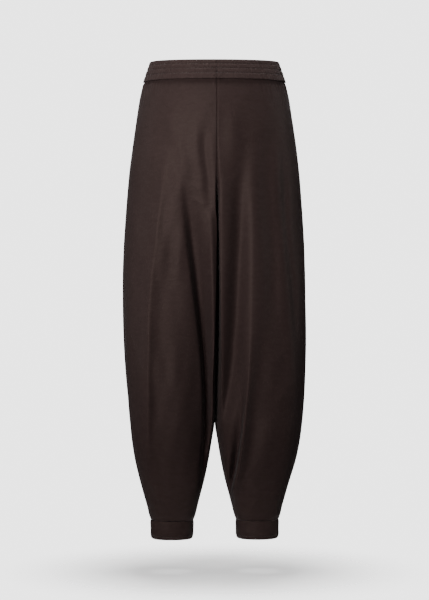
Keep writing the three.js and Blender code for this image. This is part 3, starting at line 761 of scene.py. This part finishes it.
def cloth_point(panel, turn, row):
    """Outside of a panel with its folds, in millimetres, on the half with x above 0."""
    half, face = panel["half"], panel["face"]
    x, y, z = plain_point(half, turn, row)
    ahead_x, ahead_y, _ = plain_point(half, turn + TURN_STEP, row)
    behind_x, behind_y, _ = plain_point(half, turn - TURN_STEP, row)
    along_x, along_y = ahead_x - behind_x, ahead_y - behind_y
    length = np.maximum(np.hypot(along_x, along_y), 1e-9)
    out_x, out_y = along_y / length, -along_x / length
    part = np.abs(turn) / math.pi
    from_centre = ease((1 - part) / SEAM_FADE)
    from_side = ease(part / SEAM_FADE)
    depth = fold_rise(panel["folds"], x, z) * from_centre * from_side
    depth += slow_waves(panel, x, z) * from_centre * from_side
    depth += crease_rise(panel["creases"], x, z) * from_side
    to_side = np.abs(turn) * length / (2 * TURN_STEP)
    to_centre = np.abs(math.pi - np.abs(turn)) * length / (2 * TURN_STEP)
    centre_roll = -rolled(to_centre, SEAM_ROLL)
    drop = PANEL_TOP - z
    swell = side_rise(SIDE_FOLDS[half], turn, z) + cuff_puff(z) * from_centre
    swell += waist_gathers(panel, turn, z) * (1 - bell(drop, 3))
    swell -= rolled(drop, WAIST_ROLL)
    swell += centre_roll - rolled(to_side, SEAM_ROLL)
    new_y = y + face * depth + out_y * swell
    gap = ring("gap", z)
    on_body = ease((z - CROTCH - CLOSING[0]) / CLOSING[1])
    closed = gap * bell(to_centre, 3) * on_body
    new_x = x + out_x * (swell - on_body * centre_roll)
    new_x = new_x - lie_over(panel, x, z) * (turn * face > 0)
    limit = gap + wall_lean(half, new_y, z)
    return np.maximum(new_x, limit) - closed, new_y, z + rolled(drop, WAIST_TUCK)


def turn_on_fold(panel, fold, rows):
    """Angle at which each grid row crosses a fold's line."""
    low = np.full(rows.shape, 0.02)
    high = np.full(rows.shape, math.pi - 0.02)
    for _ in range(24):
        middle = (low + high) / 2
        x, _, z = plain_point(panel["half"], panel["face"] * middle, rows)
        outside = x > at(fold, "x", z)
        low = np.where(outside, middle, low)
        high = np.where(outside, high, middle)
    return (low + high) / 2


def column_turns(panel, rows):
    """Angles of each row's columns, from the side seam to the centre, along the main folds."""
    least = math.radians(4)
    marks = [np.zeros(rows.shape)]
    lines = panel["lines"]
    for i, (name, rest) in enumerate(lines):
        fold = panel["folds"][name]
        found = turn_on_fold(panel, fold, rows)
        _, _, z = plain_point(panel["half"], panel["face"] * found, rows)
        most = max(abs(v) for v in fold["rise"])
        weight = ease(1.6 * np.abs(at(fold, "rise", z)) / most)
        turn = mix(math.radians(rest), found, weight)
        room = least * (len(lines) - i)
        marks.append(np.clip(turn, marks[i] + least, CORNER * math.pi - room))
    marks.append(np.full(rows.shape, CORNER * math.pi))
    marks.append(np.full(rows.shape, math.pi))
    columns = []
    for i, count in enumerate(PANEL_CELLS):
        for k in range(count):
            columns.append(mix(marks[i], marks[i + 1], k / count))
    columns.append(marks[-1])
    return np.stack(columns, axis=1)


def seam_columns(turns):
    """Adds narrow columns beside the side seam, so that its roll is smooth."""
    extra = [turns[:, :1] + offset for offset in SEAM_COLUMNS]
    return np.sort(np.concatenate([turns] + extra, axis=1), axis=1)


def mesh_object(name, points, faces, uv=None):
    """Object from points in metres, faces of point numbers and, for cloth, a UV pair for each point."""
    mesh = bpy.data.meshes.new(name)
    mesh.from_pydata(points.tolist(), [], faces)
    if uv is not None:
        layer = mesh.uv_layers.new(name="cloth")
        loops = np.empty(len(mesh.loops), dtype=np.int32)
        mesh.loops.foreach_get("vertex_index", loops)
        layer.data.foreach_set("uv", uv[loops].astype(np.float32).ravel())
    mesh.polygons.foreach_set("use_smooth", np.ones(len(mesh.polygons), dtype=bool))
    mesh.update()
    piece = bpy.data.objects.new(name, mesh)
    bpy.context.collection.objects.link(piece)
    return piece


def grid_faces(rows, columns, closed_rows=False, closed_columns=False):
    """Four-sided faces over a grid of points, which may close on itself either way."""
    r = np.arange(rows if closed_rows else rows - 1)
    c = np.arange(columns if closed_columns else columns - 1)
    r, c = np.meshgrid(r, c, indexing="ij")
    down = (r + 1) % rows
    right = (c + 1) % columns
    corners = [r * columns + c, r * columns + right, down * columns + right, down * columns + c]
    return np.stack([corner.ravel() for corner in corners], axis=1)


def only(piece):
    """Selects one piece and makes it active."""
    bpy.ops.object.select_all(action="DESELECT")
    piece.select_set(True)
    bpy.context.view_layer.objects.active = piece


def thicken(piece, thickness):
    """Gives a shell its thickness on the inside, with the second material there."""
    only(piece)
    solidify = piece.modifiers.new("thickness", "SOLIDIFY")
    solidify.thickness = thickness
    solidify.offset = -1
    solidify.material_offset = 1
    bpy.ops.object.modifier_apply(modifier=solidify.name)


def new_node(tree, kind, inputs=(), **settings):
    """Adds a node, sets its options, and fills its sockets from values or from other sockets."""
    node = tree.nodes.new(kind)
    for key, value in settings.items():
        setattr(node, key, value)
    for socket, value in dict(inputs).items():
        if isinstance(value, bpy.types.NodeSocket):
            tree.links.new(value, node.inputs[socket])
        else:
            node.inputs[socket].default_value = value
    return node


def crinkle_group():
    """Shared surface effect: crosswise crinkles, a fine satin weave, and a colour factor that paints
    shade into the crinkles' hollows and sheen onto their ridges, mixed with slow random changes of
    colour.
    """
    group = bpy.data.node_groups.get("satin_crinkle")
    if group:
        return group
    group = bpy.data.node_groups.new("satin_crinkle", "ShaderNodeTree")
    faces = group.interface
    faces.new_socket("Vector", in_out="INPUT", socket_type="NodeSocketVector")
    faces.new_socket("Crinkle", in_out="INPUT", socket_type="NodeSocketFloat")
    faces.new_socket("Weave", in_out="INPUT", socket_type="NodeSocketFloat")
    faces.new_socket("Height", in_out="OUTPUT", socket_type="NodeSocketFloat")
    # Painted shade and sheen of the crinkles, mixed with slow random colour
    faces.new_socket("Crinkle Shade and Tone", in_out="OUTPUT", socket_type="NodeSocketFloat")
    source = group.nodes.new("NodeGroupInput")
    result = group.nodes.new("NodeGroupOutput")

    def noise(scale, detail, stretch, distortion):
        mapping = new_node(
            group, "ShaderNodeMapping", {"Vector": source.outputs["Vector"], "Scale": stretch}
        )
        return new_node(
            group,
            "ShaderNodeTexNoise",
            {
                "Vector": mapping.outputs["Vector"],
                "Scale": scale,
                "Detail": detail,
                "Roughness": 0.55,
                "Distortion": distortion,
            },
        ).outputs["Fac"]

    def maths(operation, a, b):
        return new_node(group, "ShaderNodeMath", {0: a, 1: b}, operation=operation).outputs[0]

    crinkles = noise(75, 3, (0.9, 1.7, 1), 0.8)
    fine_crinkles = noise(230, 2, (0.8, 1.6, 1), 0.6)
    slow = noise(7, 2, (1, 0.6, 1), 0)
    weave = new_node(
        group,
        "ShaderNodeTexWave",
        {"Vector": source.outputs["Vector"], "Scale": 420, "Distortion": 1.5, "Detail": 1},
        bands_direction="DIAGONAL",
    ).outputs["Fac"]
    both = maths("ADD", crinkles, maths("MULTIPLY", fine_crinkles, 0.35))
    raised = maths("MULTIPLY", both, source.outputs["Crinkle"])
    height = maths("ADD", raised, maths("MULTIPLY", weave, source.outputs["Weave"]))
    group.links.new(height, result.inputs["Height"])
    # Painted shade and sheen: this factor follows the crinkles' height, darker in their hollows and
    # lighter on their ridges; the slow noise adds random colour
    crinkle_shade_and_tone = maths("ADD", maths("MULTIPLY", crinkles, 0.55), maths("MULTIPLY", slow, 0.45))
    group.links.new(crinkle_shade_and_tone, result.inputs["Crinkle Shade and Tone"])
    return group


def new_material(name):
    """Material with its node tree and its shader."""
    material = bpy.data.materials.new(name)
    material.use_nodes = True
    return material, material.node_tree, material.node_tree.nodes["Principled BSDF"]


def two_tones(tree, factor, *stops):
    """Base colour that changes with a factor, from stops of position and colour."""
    ramp = new_node(tree, "ShaderNodeValToRGB", {"Fac": factor})
    for element, (position, colour) in zip(ramp.color_ramp.elements, stops):
        element.position = position
        element.color = (*colour, 1)
    tree.links.new(ramp.outputs["Color"], tree.nodes["Principled BSDF"].inputs["Base Color"])


def cloth_material(name, dark, light, crinkle, weave, roughness, sheen):
    """Cloth whose gloss and bump follow the shared crinkle, and whose colour paints shade into the
    crinkles' hollows and sheen onto their ridges.
    """
    material = bpy.data.materials.get(name)
    if material:
        return material
    material, tree, shader = new_material(name)
    place = new_node(tree, "ShaderNodeUVMap", uv_map="cloth")
    effect = new_node(tree, "ShaderNodeGroup", node_tree=crinkle_group())
    tree.links.new(place.outputs["UV"], effect.inputs["Vector"])
    effect.inputs["Crinkle"].default_value = crinkle
    effect.inputs["Weave"].default_value = weave
    # Painted shade and sheen: the dark colour goes into the crinkles' hollows, the light onto their
    # ridges
    two_tones(tree, effect.outputs["Crinkle Shade and Tone"], (0.32, dark), (0.68, light))
    gloss = new_node(
        tree,
        "ShaderNodeMapRange",
        {"Value": effect.outputs["Crinkle Shade and Tone"], "To Min": roughness + 0.05, "To Max": roughness - 0.05},
    )
    tree.links.new(gloss.outputs["Result"], shader.inputs["Roughness"])
    bump = new_node(
        tree,
        "ShaderNodeBump",
        {"Height": effect.outputs["Height"], "Strength": 0.6, "Distance": 0.001},
    )
    tree.links.new(bump.outputs["Normal"], shader.inputs["Normal"])
    shader.inputs["Sheen Weight"].default_value = sheen
    shader.inputs["Sheen Roughness"].default_value = 0.45
    shader.inputs["Specular IOR Level"].default_value = 0.14
    shader.inputs["Specular Tint"].default_value = (1, 0.78, 0.68, 1)
    return material


def satin(settings):
    """The two sides of the cloth: satin outside, duller inside."""
    dark, light, wrong_side = settings.satin_dark, settings.satin_light, settings.wrong_side
    outside = cloth_material(
        "crinkled_satin", dark, light, crinkle=0.7, weave=0.05, roughness=0.55, sheen=0.05
    )
    inside = cloth_material(
        "satin_wrong_side", wrong_side, wrong_side, crinkle=0.4, weave=0.12, roughness=0.75, sheen=0.05
    )
    return outside, inside


def cloth_piece(name, points, uv, faces, settings):
    """Object of the cloth that shows of one solid, with both sides of the satin."""
    points, uv = points.reshape(-1, 3), uv.reshape(-1, 2)
    piece = mesh_object(name + "_satin", points, faces.tolist(), uv)
    for material in satin(settings):
        piece.data.materials.append(material)
    return piece


def tube_piece(name, points, around, down, half, settings):
    """Object of a folded strip that closes on itself round the body or a leg. half: -1 turns it over."""
    uv = np.stack(np.broadcast_arrays(around[None, :], down[:, None]), axis=-1)
    faces = grid_faces(*points.shape[:2], closed_rows=True, closed_columns=True)
    return cloth_piece(name, points, uv, faces[:, ::half], settings)


def belongs(piece, node):
    """States the piece's body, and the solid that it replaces."""
    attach(piece, "root")
    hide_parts(node)


def panel_piece(name, settings):
    """One panel of the legs as a thin shell with all its folds."""
    panel = PANELS[name]
    middle = np.linspace(FIRST_ROW, LAST_ROW - FIRST_ROW, PANEL_ROWS)
    rows = np.concatenate([END_ROWS, middle, LAST_ROW - END_ROWS[::-1]])
    turns = seam_columns(column_turns(panel, rows))
    x, y, z = cloth_point(panel, panel["face"] * turns, rows[:, None] + np.zeros_like(turns))
    x, y, z = x * panel["half"] * MM, y * MM, z * MM
    points = np.stack([x, y, z], axis=-1)
    steps = np.linalg.norm(np.diff(points, axis=1), axis=-1)
    across = np.concatenate([np.zeros((len(rows), 1)), np.cumsum(steps, axis=1)], axis=1)
    side = panel["half"] * panel["face"]
    uv = np.stack([across * side, z], axis=-1)
    piece = cloth_piece(name, points, uv, grid_faces(*turns.shape)[:, ::-side], settings)
    thicken(piece, settings.cloth_thickness)
    belongs(piece, name)


def band_ring(turn, z, out):
    """Point of the waistband's ring. turn: 0 at +X, a quarter at the back."""
    share = (WAIST_TOP - z) / (WAIST_TOP - WAIST_SEAM)
    side, back, front = (mix(a, b, share) + out for a, b in zip(BAND_TOP_SIZE, BAND_FOOT_SIZE))
    depth = np.where(np.sin(turn) > 0, back, front)
    return side * squared_cos(turn, BODY_SQUARE), depth * squared_sin(turn, BODY_SQUARE)


def band_gather(place, z, length, count):
    """How far the waistband's gathers stand out. Each gather shifts a little from channel to channel."""
    rng = np.random.default_rng(BAND_SEED)
    pitch = length / count
    levels = -np.array(BAND_CHANNELS)
    total = np.zeros(np.broadcast(place, z).shape)
    for k in range(count):
        centre = (k + 0.5 + rng.uniform(-0.35, 0.35)) * pitch
        shifts = rng.uniform(-1.0, 1.0, len(levels))
        sizes = rng.uniform(0.2, 0.8, len(levels))
        width = rng.uniform(0.9, 1.6)
        shift = np.interp(-z, levels, shifts)
        size = np.interp(-z, levels, sizes)
        offset = (place - centre + length / 2) % length - length / 2
        total += size * bell(offset - shift, width)
    return total


def band_marks(place, z, length):
    """Centre-back seam with bunched cloth beside it, and a small crease at each tack of the elastic."""
    offset = (place + length / 2) % length - length / 2
    bunched = 1.3 * bell(offset, 9) * np.sin(offset * 2.1 + z / 3.5) * ease((8 - z) / 8)
    total = bunched - 1.3 * bell(offset, 0.9)
    for spot in BAND_TACKS:
        height = z - BAND_TACK_HEIGHT
        total = total - 1.1 * bell(offset - spot + 0.35 * height, 1.2) * bell(height, 6)
    return total


def band_surface(place, z, length, settings):
    """How far the waistband's outside stands out from its ring."""
    pinch = sum(bell(z - row, 1.1) for row in BAND_STITCH_ROWS)
    edge = ease((20.2 - z) / 2.2) * ease((z + 20.8) / 1.6)
    gather = band_gather(place, z, length, settings.band_gathers)
    level = 0.6 * edge - 0.5 * pinch - 0.5 * (1 - edge)
    raised = gather * (1 - 0.6 * pinch) * (0.4 + 0.6 * edge)
    return level + raised + band_marks(place, z, length) * edge


def band_foot(turn, z):
    """Height of a level of the waistband, which hangs lower at the sides."""
    share = np.clip((WAIST_TOP - z) / (WAIST_TOP - WAIST_SEAM), 0, 1)
    return z - 4 * share**2 * (1 - np.abs(np.sin(turn))) ** 1.3


def band_turns():
    """Angles round the waistband, from the centre back, with the distance along it at each."""
    turn = np.linspace(0, 2 * math.pi, BAND_COLUMNS, endpoint=False) + math.pi / 2
    x, y = band_ring(turn, 0, 0)
    steps = np.hypot(np.diff(x, append=x[:1]), np.diff(y, append=y[:1]))
    place = np.concatenate([[0], np.cumsum(steps)[:-1]])
    return turn, place, float(steps.sum())


def band_points(turn, z, out):
    """Points of the waistband at its levels, each standing out from its ring."""
    x, y = band_ring(turn, z, out)
    return np.stack(np.broadcast_arrays(x, y, band_foot(turn, z)), axis=-1)


def waistband_piece(settings):
    """The elastic waistband: a folded strip drawn into gathers by its rows of stitching."""
    turn, place, length = band_turns()
    outer_z = BAND_OUTSIDE[:, None]
    outer = band_points(turn, outer_z, band_surface(place, outer_z, length, settings))
    inner_z, inner_out = BAND_INSIDE[:, :1], BAND_INSIDE[:, 1:]
    soft = inner_out + 0.25 * band_gather(place, inner_z, length, settings.band_gathers)
    inner = band_points(turn, inner_z, soft)
    points = np.concatenate([outer, inner]) * MM
    down = np.concatenate([outer_z, 2 * WAIST_TOP - inner_z])[:, 0] * MM
    piece = tube_piece("waistband", points, place * MM, down, 1, settings)
    belongs(piece, "waistband")


def cuff_out(turn, down, out, half):
    """How far a cuff's cloth stands out from its ring, with its uneven lie."""
    count, rise = CUFF_WAVES
    rng = np.random.default_rng(CUFF_SEED + half)
    phase = rng.uniform(0, 2 * math.pi, count)
    total = 0
    for k in range(count):
        total = total + np.sin((4 + 3 * k) * turn + phase[k] + down / (7 + 3 * k)) / (2 + k)
    return out + rise * total * ease(down / 8) * ease((41 - down) / 6)


def cuff_place(turn, down, out, half):
    """Point of a cuff at an angle round the leg and a height below its seam."""
    spread = cuff_out(turn, down, out, half)
    x = CUFF_CENTRE[0] + (CUFF_HALF[0] + spread) * squared_cos(turn, CUFF_SQUARE)
    y = CUFF_CENTRE[1] + (CUFF_HALF[1] + spread) * squared_sin(turn, CUFF_SQUARE)
    return np.stack(np.broadcast_arrays(half * x, y, CUFF_SEAM - down), axis=-1)


def cuff_piece(name, half, settings):
    """A folded strip round one ankle."""
    turn = np.linspace(0, 2 * math.pi, CUFF_COLUMNS, endpoint=False) - math.pi
    down, out = (np.array(CUFF_OUTSIDE[key] + CUFF_INSIDE[key])[:, None] for key in ("down", "out"))
    points = cuff_place(turn, down, out, half) * MM
    around = (turn + math.pi) * CUFF_HALF[0] * MM
    folded = 2 * CUFF_DEPTH - np.array(CUFF_INSIDE["down"])
    down = np.concatenate([CUFF_OUTSIDE["down"], folded]) * -MM
    piece = tube_piece(name, points, around, down, -half, settings)
    belongs(piece, name)


def stitch_row(centres, along, outwards, length):
    """Points and faces of a row of stitches, in millimetres."""
    count = len(centres)
    side = np.cross(along, outwards)
    angles = np.linspace(0, 2 * math.pi, STITCH_SIDES, endpoint=False)
    points = []
    for place, size in STITCH_RINGS:
        for angle in angles:
            offset = outwards * math.cos(angle) + side * math.sin(angle)
            points.append(centres + along * place * length + offset * size * STITCH_RADIUS)
    points = np.stack(points, axis=1)
    rings = len(STITCH_RINGS)
    body = grid_faces(rings, STITCH_SIDES, closed_columns=True)
    first = np.arange(count)[:, None, None] * rings * STITCH_SIDES
    quads = (body[None] + first).reshape(-1, 4)
    ends = []
    for ring_number in (0, rings - 1):
        corners = np.arange(STITCH_SIDES) + ring_number * STITCH_SIDES
        corners = corners[::-1] if ring_number == 0 else corners
        ends.append(corners[None] + first[:, 0])
    return points.reshape(-1, 3), quads, np.concatenate(ends)


def thread_material(settings):
    """Sewing thread with a fine twist, whose colour paints shade into the twist's grooves and light onto
    its raised strands.
    """
    material, tree, shader = new_material("thread")
    place = new_node(tree, "ShaderNodeTexCoord")
    twist = new_node(
        tree, "ShaderNodeTexNoise", {"Vector": place.outputs["Object"], "Scale": 900, "Detail": 2}
    )
    thread = Vector(settings.thread)
    # Painted shade: the noise that bumps the twist also makes the colour darker in its grooves and
    # lighter on its raised strands
    two_tones(tree, twist.outputs["Fac"], (0.3, 0.6 * thread), (0.7, 1.4 * thread))
    bump = new_node(tree, "ShaderNodeBump", {"Height": twist.outputs["Fac"], "Distance": 0.0002})
    tree.links.new(bump.outputs["Normal"], shader.inputs["Normal"])
    shader.inputs["Roughness"].default_value = 0.6
    shader.inputs["Sheen Weight"].default_value = 0.2
    return material


def stitches_piece(name, rows, settings):
    """One piece from several rows of stitches. Each row is a closed line of points on the cloth."""
    points, quads, ends = [], [], []
    start = 0
    for line in rows:
        step = np.roll(line, -1, axis=0) - np.roll(line, 1, axis=0)
        along = step / np.linalg.norm(step, axis=1, keepdims=True)
        outwards = np.cross(along, (0, 0, 1.0))
        outwards /= np.linalg.norm(outwards, axis=1, keepdims=True)
        middle = line.mean(axis=0)
        facing = np.sign(np.sum(outwards * (line - middle), axis=1, keepdims=True))
        outwards = outwards * facing
        along = along * facing
        middles = line + STITCH_LIFT * outwards
        row = stitch_row(middles, along, outwards, settings.stitch_length / MM)
        points.append(row[0])
        quads.append(row[1] + start)
        ends.append(row[2] + start)
        start += len(row[0])
    faces = np.concatenate(quads).tolist() + np.concatenate(ends).tolist()
    piece = mesh_object(name, np.concatenate(points) * MM, faces)
    material = bpy.data.materials.get("thread") or thread_material(settings)
    piece.data.materials.append(material)
    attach(piece, "root")


def evenly(line, pitch):
    """Points spaced evenly along a closed line."""
    closed = np.concatenate([line, line[:1]])
    along = np.concatenate([[0], np.cumsum(np.linalg.norm(np.diff(closed, axis=0), axis=1))])
    count = int(along[-1] / pitch)
    spots = np.arange(count) * along[-1] / count
    return np.stack([np.interp(spots, along, closed[:, k]) for k in range(3)], axis=1)


def waistband_stitches(settings):
    """Three rows of stitches that hold the elastic."""
    turn, place, length = band_turns()
    rows = []
    for z in BAND_STITCH_ROWS:
        out = band_surface(place, np.full(place.shape, float(z)), length, settings)
        rows.append(evenly(band_points(turn, z, out), settings.stitch_pitch / MM))
    stitches_piece("waistband_stitches", rows, settings)


def cuff_stitches(name, half, settings):
    """One row of stitches near a cuff's fold."""
    turn = np.linspace(0, 2 * math.pi, CUFF_COLUMNS, endpoint=False)
    down = CUFF_SEAM - CUFF_STITCH_ROW
    out = np.interp(down, CUFF_OUTSIDE["down"], CUFF_OUTSIDE["out"])
    line = cuff_place(turn, np.full(turn.shape, down), out, half)
    stitches_piece(name + "_stitches", [evenly(line, settings.stitch_pitch / MM)], settings)


def area_light(name, place, aim, size, power, spread):
    """One softbox, aimed at a point, with a slightly warm white."""
    bpy.ops.object.light_add(type="AREA", location=place)
    lamp = bpy.context.object
    lamp.name = name
    lamp.data.name = name
    lamp.data.shape = "RECTANGLE"
    lamp.data.size, lamp.data.size_y = size
    lamp.data.energy = power
    lamp.data.color = (1, 0.98, 0.98)
    lamp.data.spread = math.radians(spread)
    lamp.rotation_euler = (Vector(aim) - Vector(place)).to_track_quat("-Z", "Y").to_euler()
    lamp.visible_camera = False


def floor_material():
    """Pale floor that fades out at its rim."""
    material, tree, shader = new_material("pale_floor")
    shader.inputs["Base Color"].default_value = (0.9, 0.9, 0.9, 1)
    shader.inputs["Roughness"].default_value = 0.9
    place = new_node(tree, "ShaderNodeTexCoord")
    distance = new_node(
        tree, "ShaderNodeVectorMath", {0: place.outputs["Object"]}, operation="LENGTH"
    )
    fade = new_node(
        tree,
        "ShaderNodeMapRange",
        {
            "Value": distance.outputs["Value"],
            "From Min": 0.12,
            "From Max": 0.48,
            "To Min": 0.8,
            "To Max": 0,
        },
        interpolation_type="SMOOTHSTEP",
    )
    tree.links.new(fade.outputs["Result"], shader.inputs["Alpha"])
    return material


def studio_world():
    """White to the camera, dimmer as a light."""
    world = bpy.context.scene.world or bpy.data.worlds.new("studio")
    bpy.context.scene.world = world
    world.use_nodes = True
    tree = world.node_tree
    shader = tree.nodes["Background"]
    shader.inputs["Color"].default_value = (1, 1, 1, 1)
    path = new_node(tree, "ShaderNodeLightPath")
    strength = new_node(
        tree,
        "ShaderNodeMapRange",
        {"Value": path.outputs["Is Camera Ray"], "To Min": WORLD_LIGHT, "To Max": WORLD_SEEN},
    )
    tree.links.new(strength.outputs["Result"], shader.inputs["Strength"])


def stage():
    """Floor, lights and the camera at the photograph's viewing angle."""
    bpy.ops.object.select_all(action="DESELECT")
    bpy.ops.mesh.primitive_circle_add(vertices=96, radius=FLOOR_RADIUS, fill_type="NGON")
    floor = bpy.context.object
    floor.name = "floor"
    floor.data.materials.append(floor_material())
    floor.location = (0, 0, HEM * MM - FLOOR_DROP)
    for light in LIGHTS:
        area_light(*light)
    studio_world()
    azimuth = math.radians(CAMERA_AZIMUTH)
    across, back = CAMERA_DISTANCE * math.sin(azimuth), -CAMERA_DISTANCE * math.cos(azimuth)
    place, aim = Vector((across, back, CAMERA_HEIGHT)), Vector(CAMERA_AIM)
    bpy.ops.object.camera_add(location=place)
    camera = bpy.context.object
    camera.name = "camera"
    camera.rotation_euler = (aim - place).to_track_quat("-Z", "Y").to_euler()
    camera.data.sensor_fit = "VERTICAL"
    camera.data.sensor_height = SENSOR
    camera.data.lens = SENSOR * (aim - place).length / (PHOTO_HEIGHT * PIXEL * MM)
    bpy.context.scene.camera = camera


class TROUSERS_OT_panels(bpy.types.Operator):
    """Make the four panels of the legs"""

    bl_idname = "trousers.panels"
    bl_label = "Leg panels"

    def execute(self, context):
        for name in PANELS:
            panel_piece(name, context.scene.trousers)
        return {"FINISHED"}


class TROUSERS_OT_waistband(bpy.types.Operator):
    """Make the gathered waistband"""

    bl_idname = "trousers.waistband"
    bl_label = "Waistband"

    def execute(self, context):
        waistband_piece(context.scene.trousers)
        return {"FINISHED"}


class TROUSERS_OT_cuffs(bpy.types.Operator):
    """Make the two cuffs"""

    bl_idname = "trousers.cuffs"
    bl_label = "Cuffs"

    def execute(self, context):
        cuff_piece("left_cuff", 1, context.scene.trousers)
        cuff_piece("right_cuff", -1, context.scene.trousers)
        return {"FINISHED"}


class TROUSERS_OT_stitching(bpy.types.Operator):
    """Make the rows of stitches on the waistband and the cuffs"""

    bl_idname = "trousers.stitching"
    bl_label = "Stitching"

    def execute(self, context):
        waistband_stitches(context.scene.trousers)
        cuff_stitches("left_cuff", 1, context.scene.trousers)
        cuff_stitches("right_cuff", -1, context.scene.trousers)
        return {"FINISHED"}


class TROUSERS_OT_stage(bpy.types.Operator):
    """Make the floor, the lights and the camera"""

    bl_idname = "trousers.stage"
    bl_label = "Stage"

    def execute(self, context):
        stage()
        return {"FINISHED"}


OPERATORS = [
    TROUSERS_OT_panels,
    TROUSERS_OT_waistband,
    TROUSERS_OT_cuffs,
    TROUSERS_OT_stitching,
    TROUSERS_OT_stage,
]


class TROUSERS_PT_panel(bpy.types.Panel):
    """Lists the trousers' pieces"""

    bl_label = "Trousers"
    bl_idname = "TROUSERS_PT_panel"
    bl_space_type = "VIEW_3D"
    bl_region_type = "UI"
    bl_category = "Trousers"

    def draw(self, context):
        for name in TrouserSettings.__annotations__:
            self.layout.prop(context.scene.trousers, name)
        for operator in OPERATORS:
            self.layout.operator(operator.bl_idname)


CLASSES = [TrouserSettings, *OPERATORS, TROUSERS_PT_panel]


def register():
    for item in CLASSES:
        bpy.utils.register_class(item)
    bpy.types.Scene.trousers = bpy.props.PointerProperty(type=TrouserSettings)


def unregister():
    del bpy.types.Scene.trousers
    for item in reversed(CLASSES):
        bpy.utils.unregister_class(item)


def main():
    register()
    bpy.ops.trousers.panels()
    bpy.ops.trousers.waistband()
    bpy.ops.trousers.cuffs()
    bpy.ops.trousers.stitching()
    bpy.ops.trousers.stage()


if __name__ == "__main__":
    main()
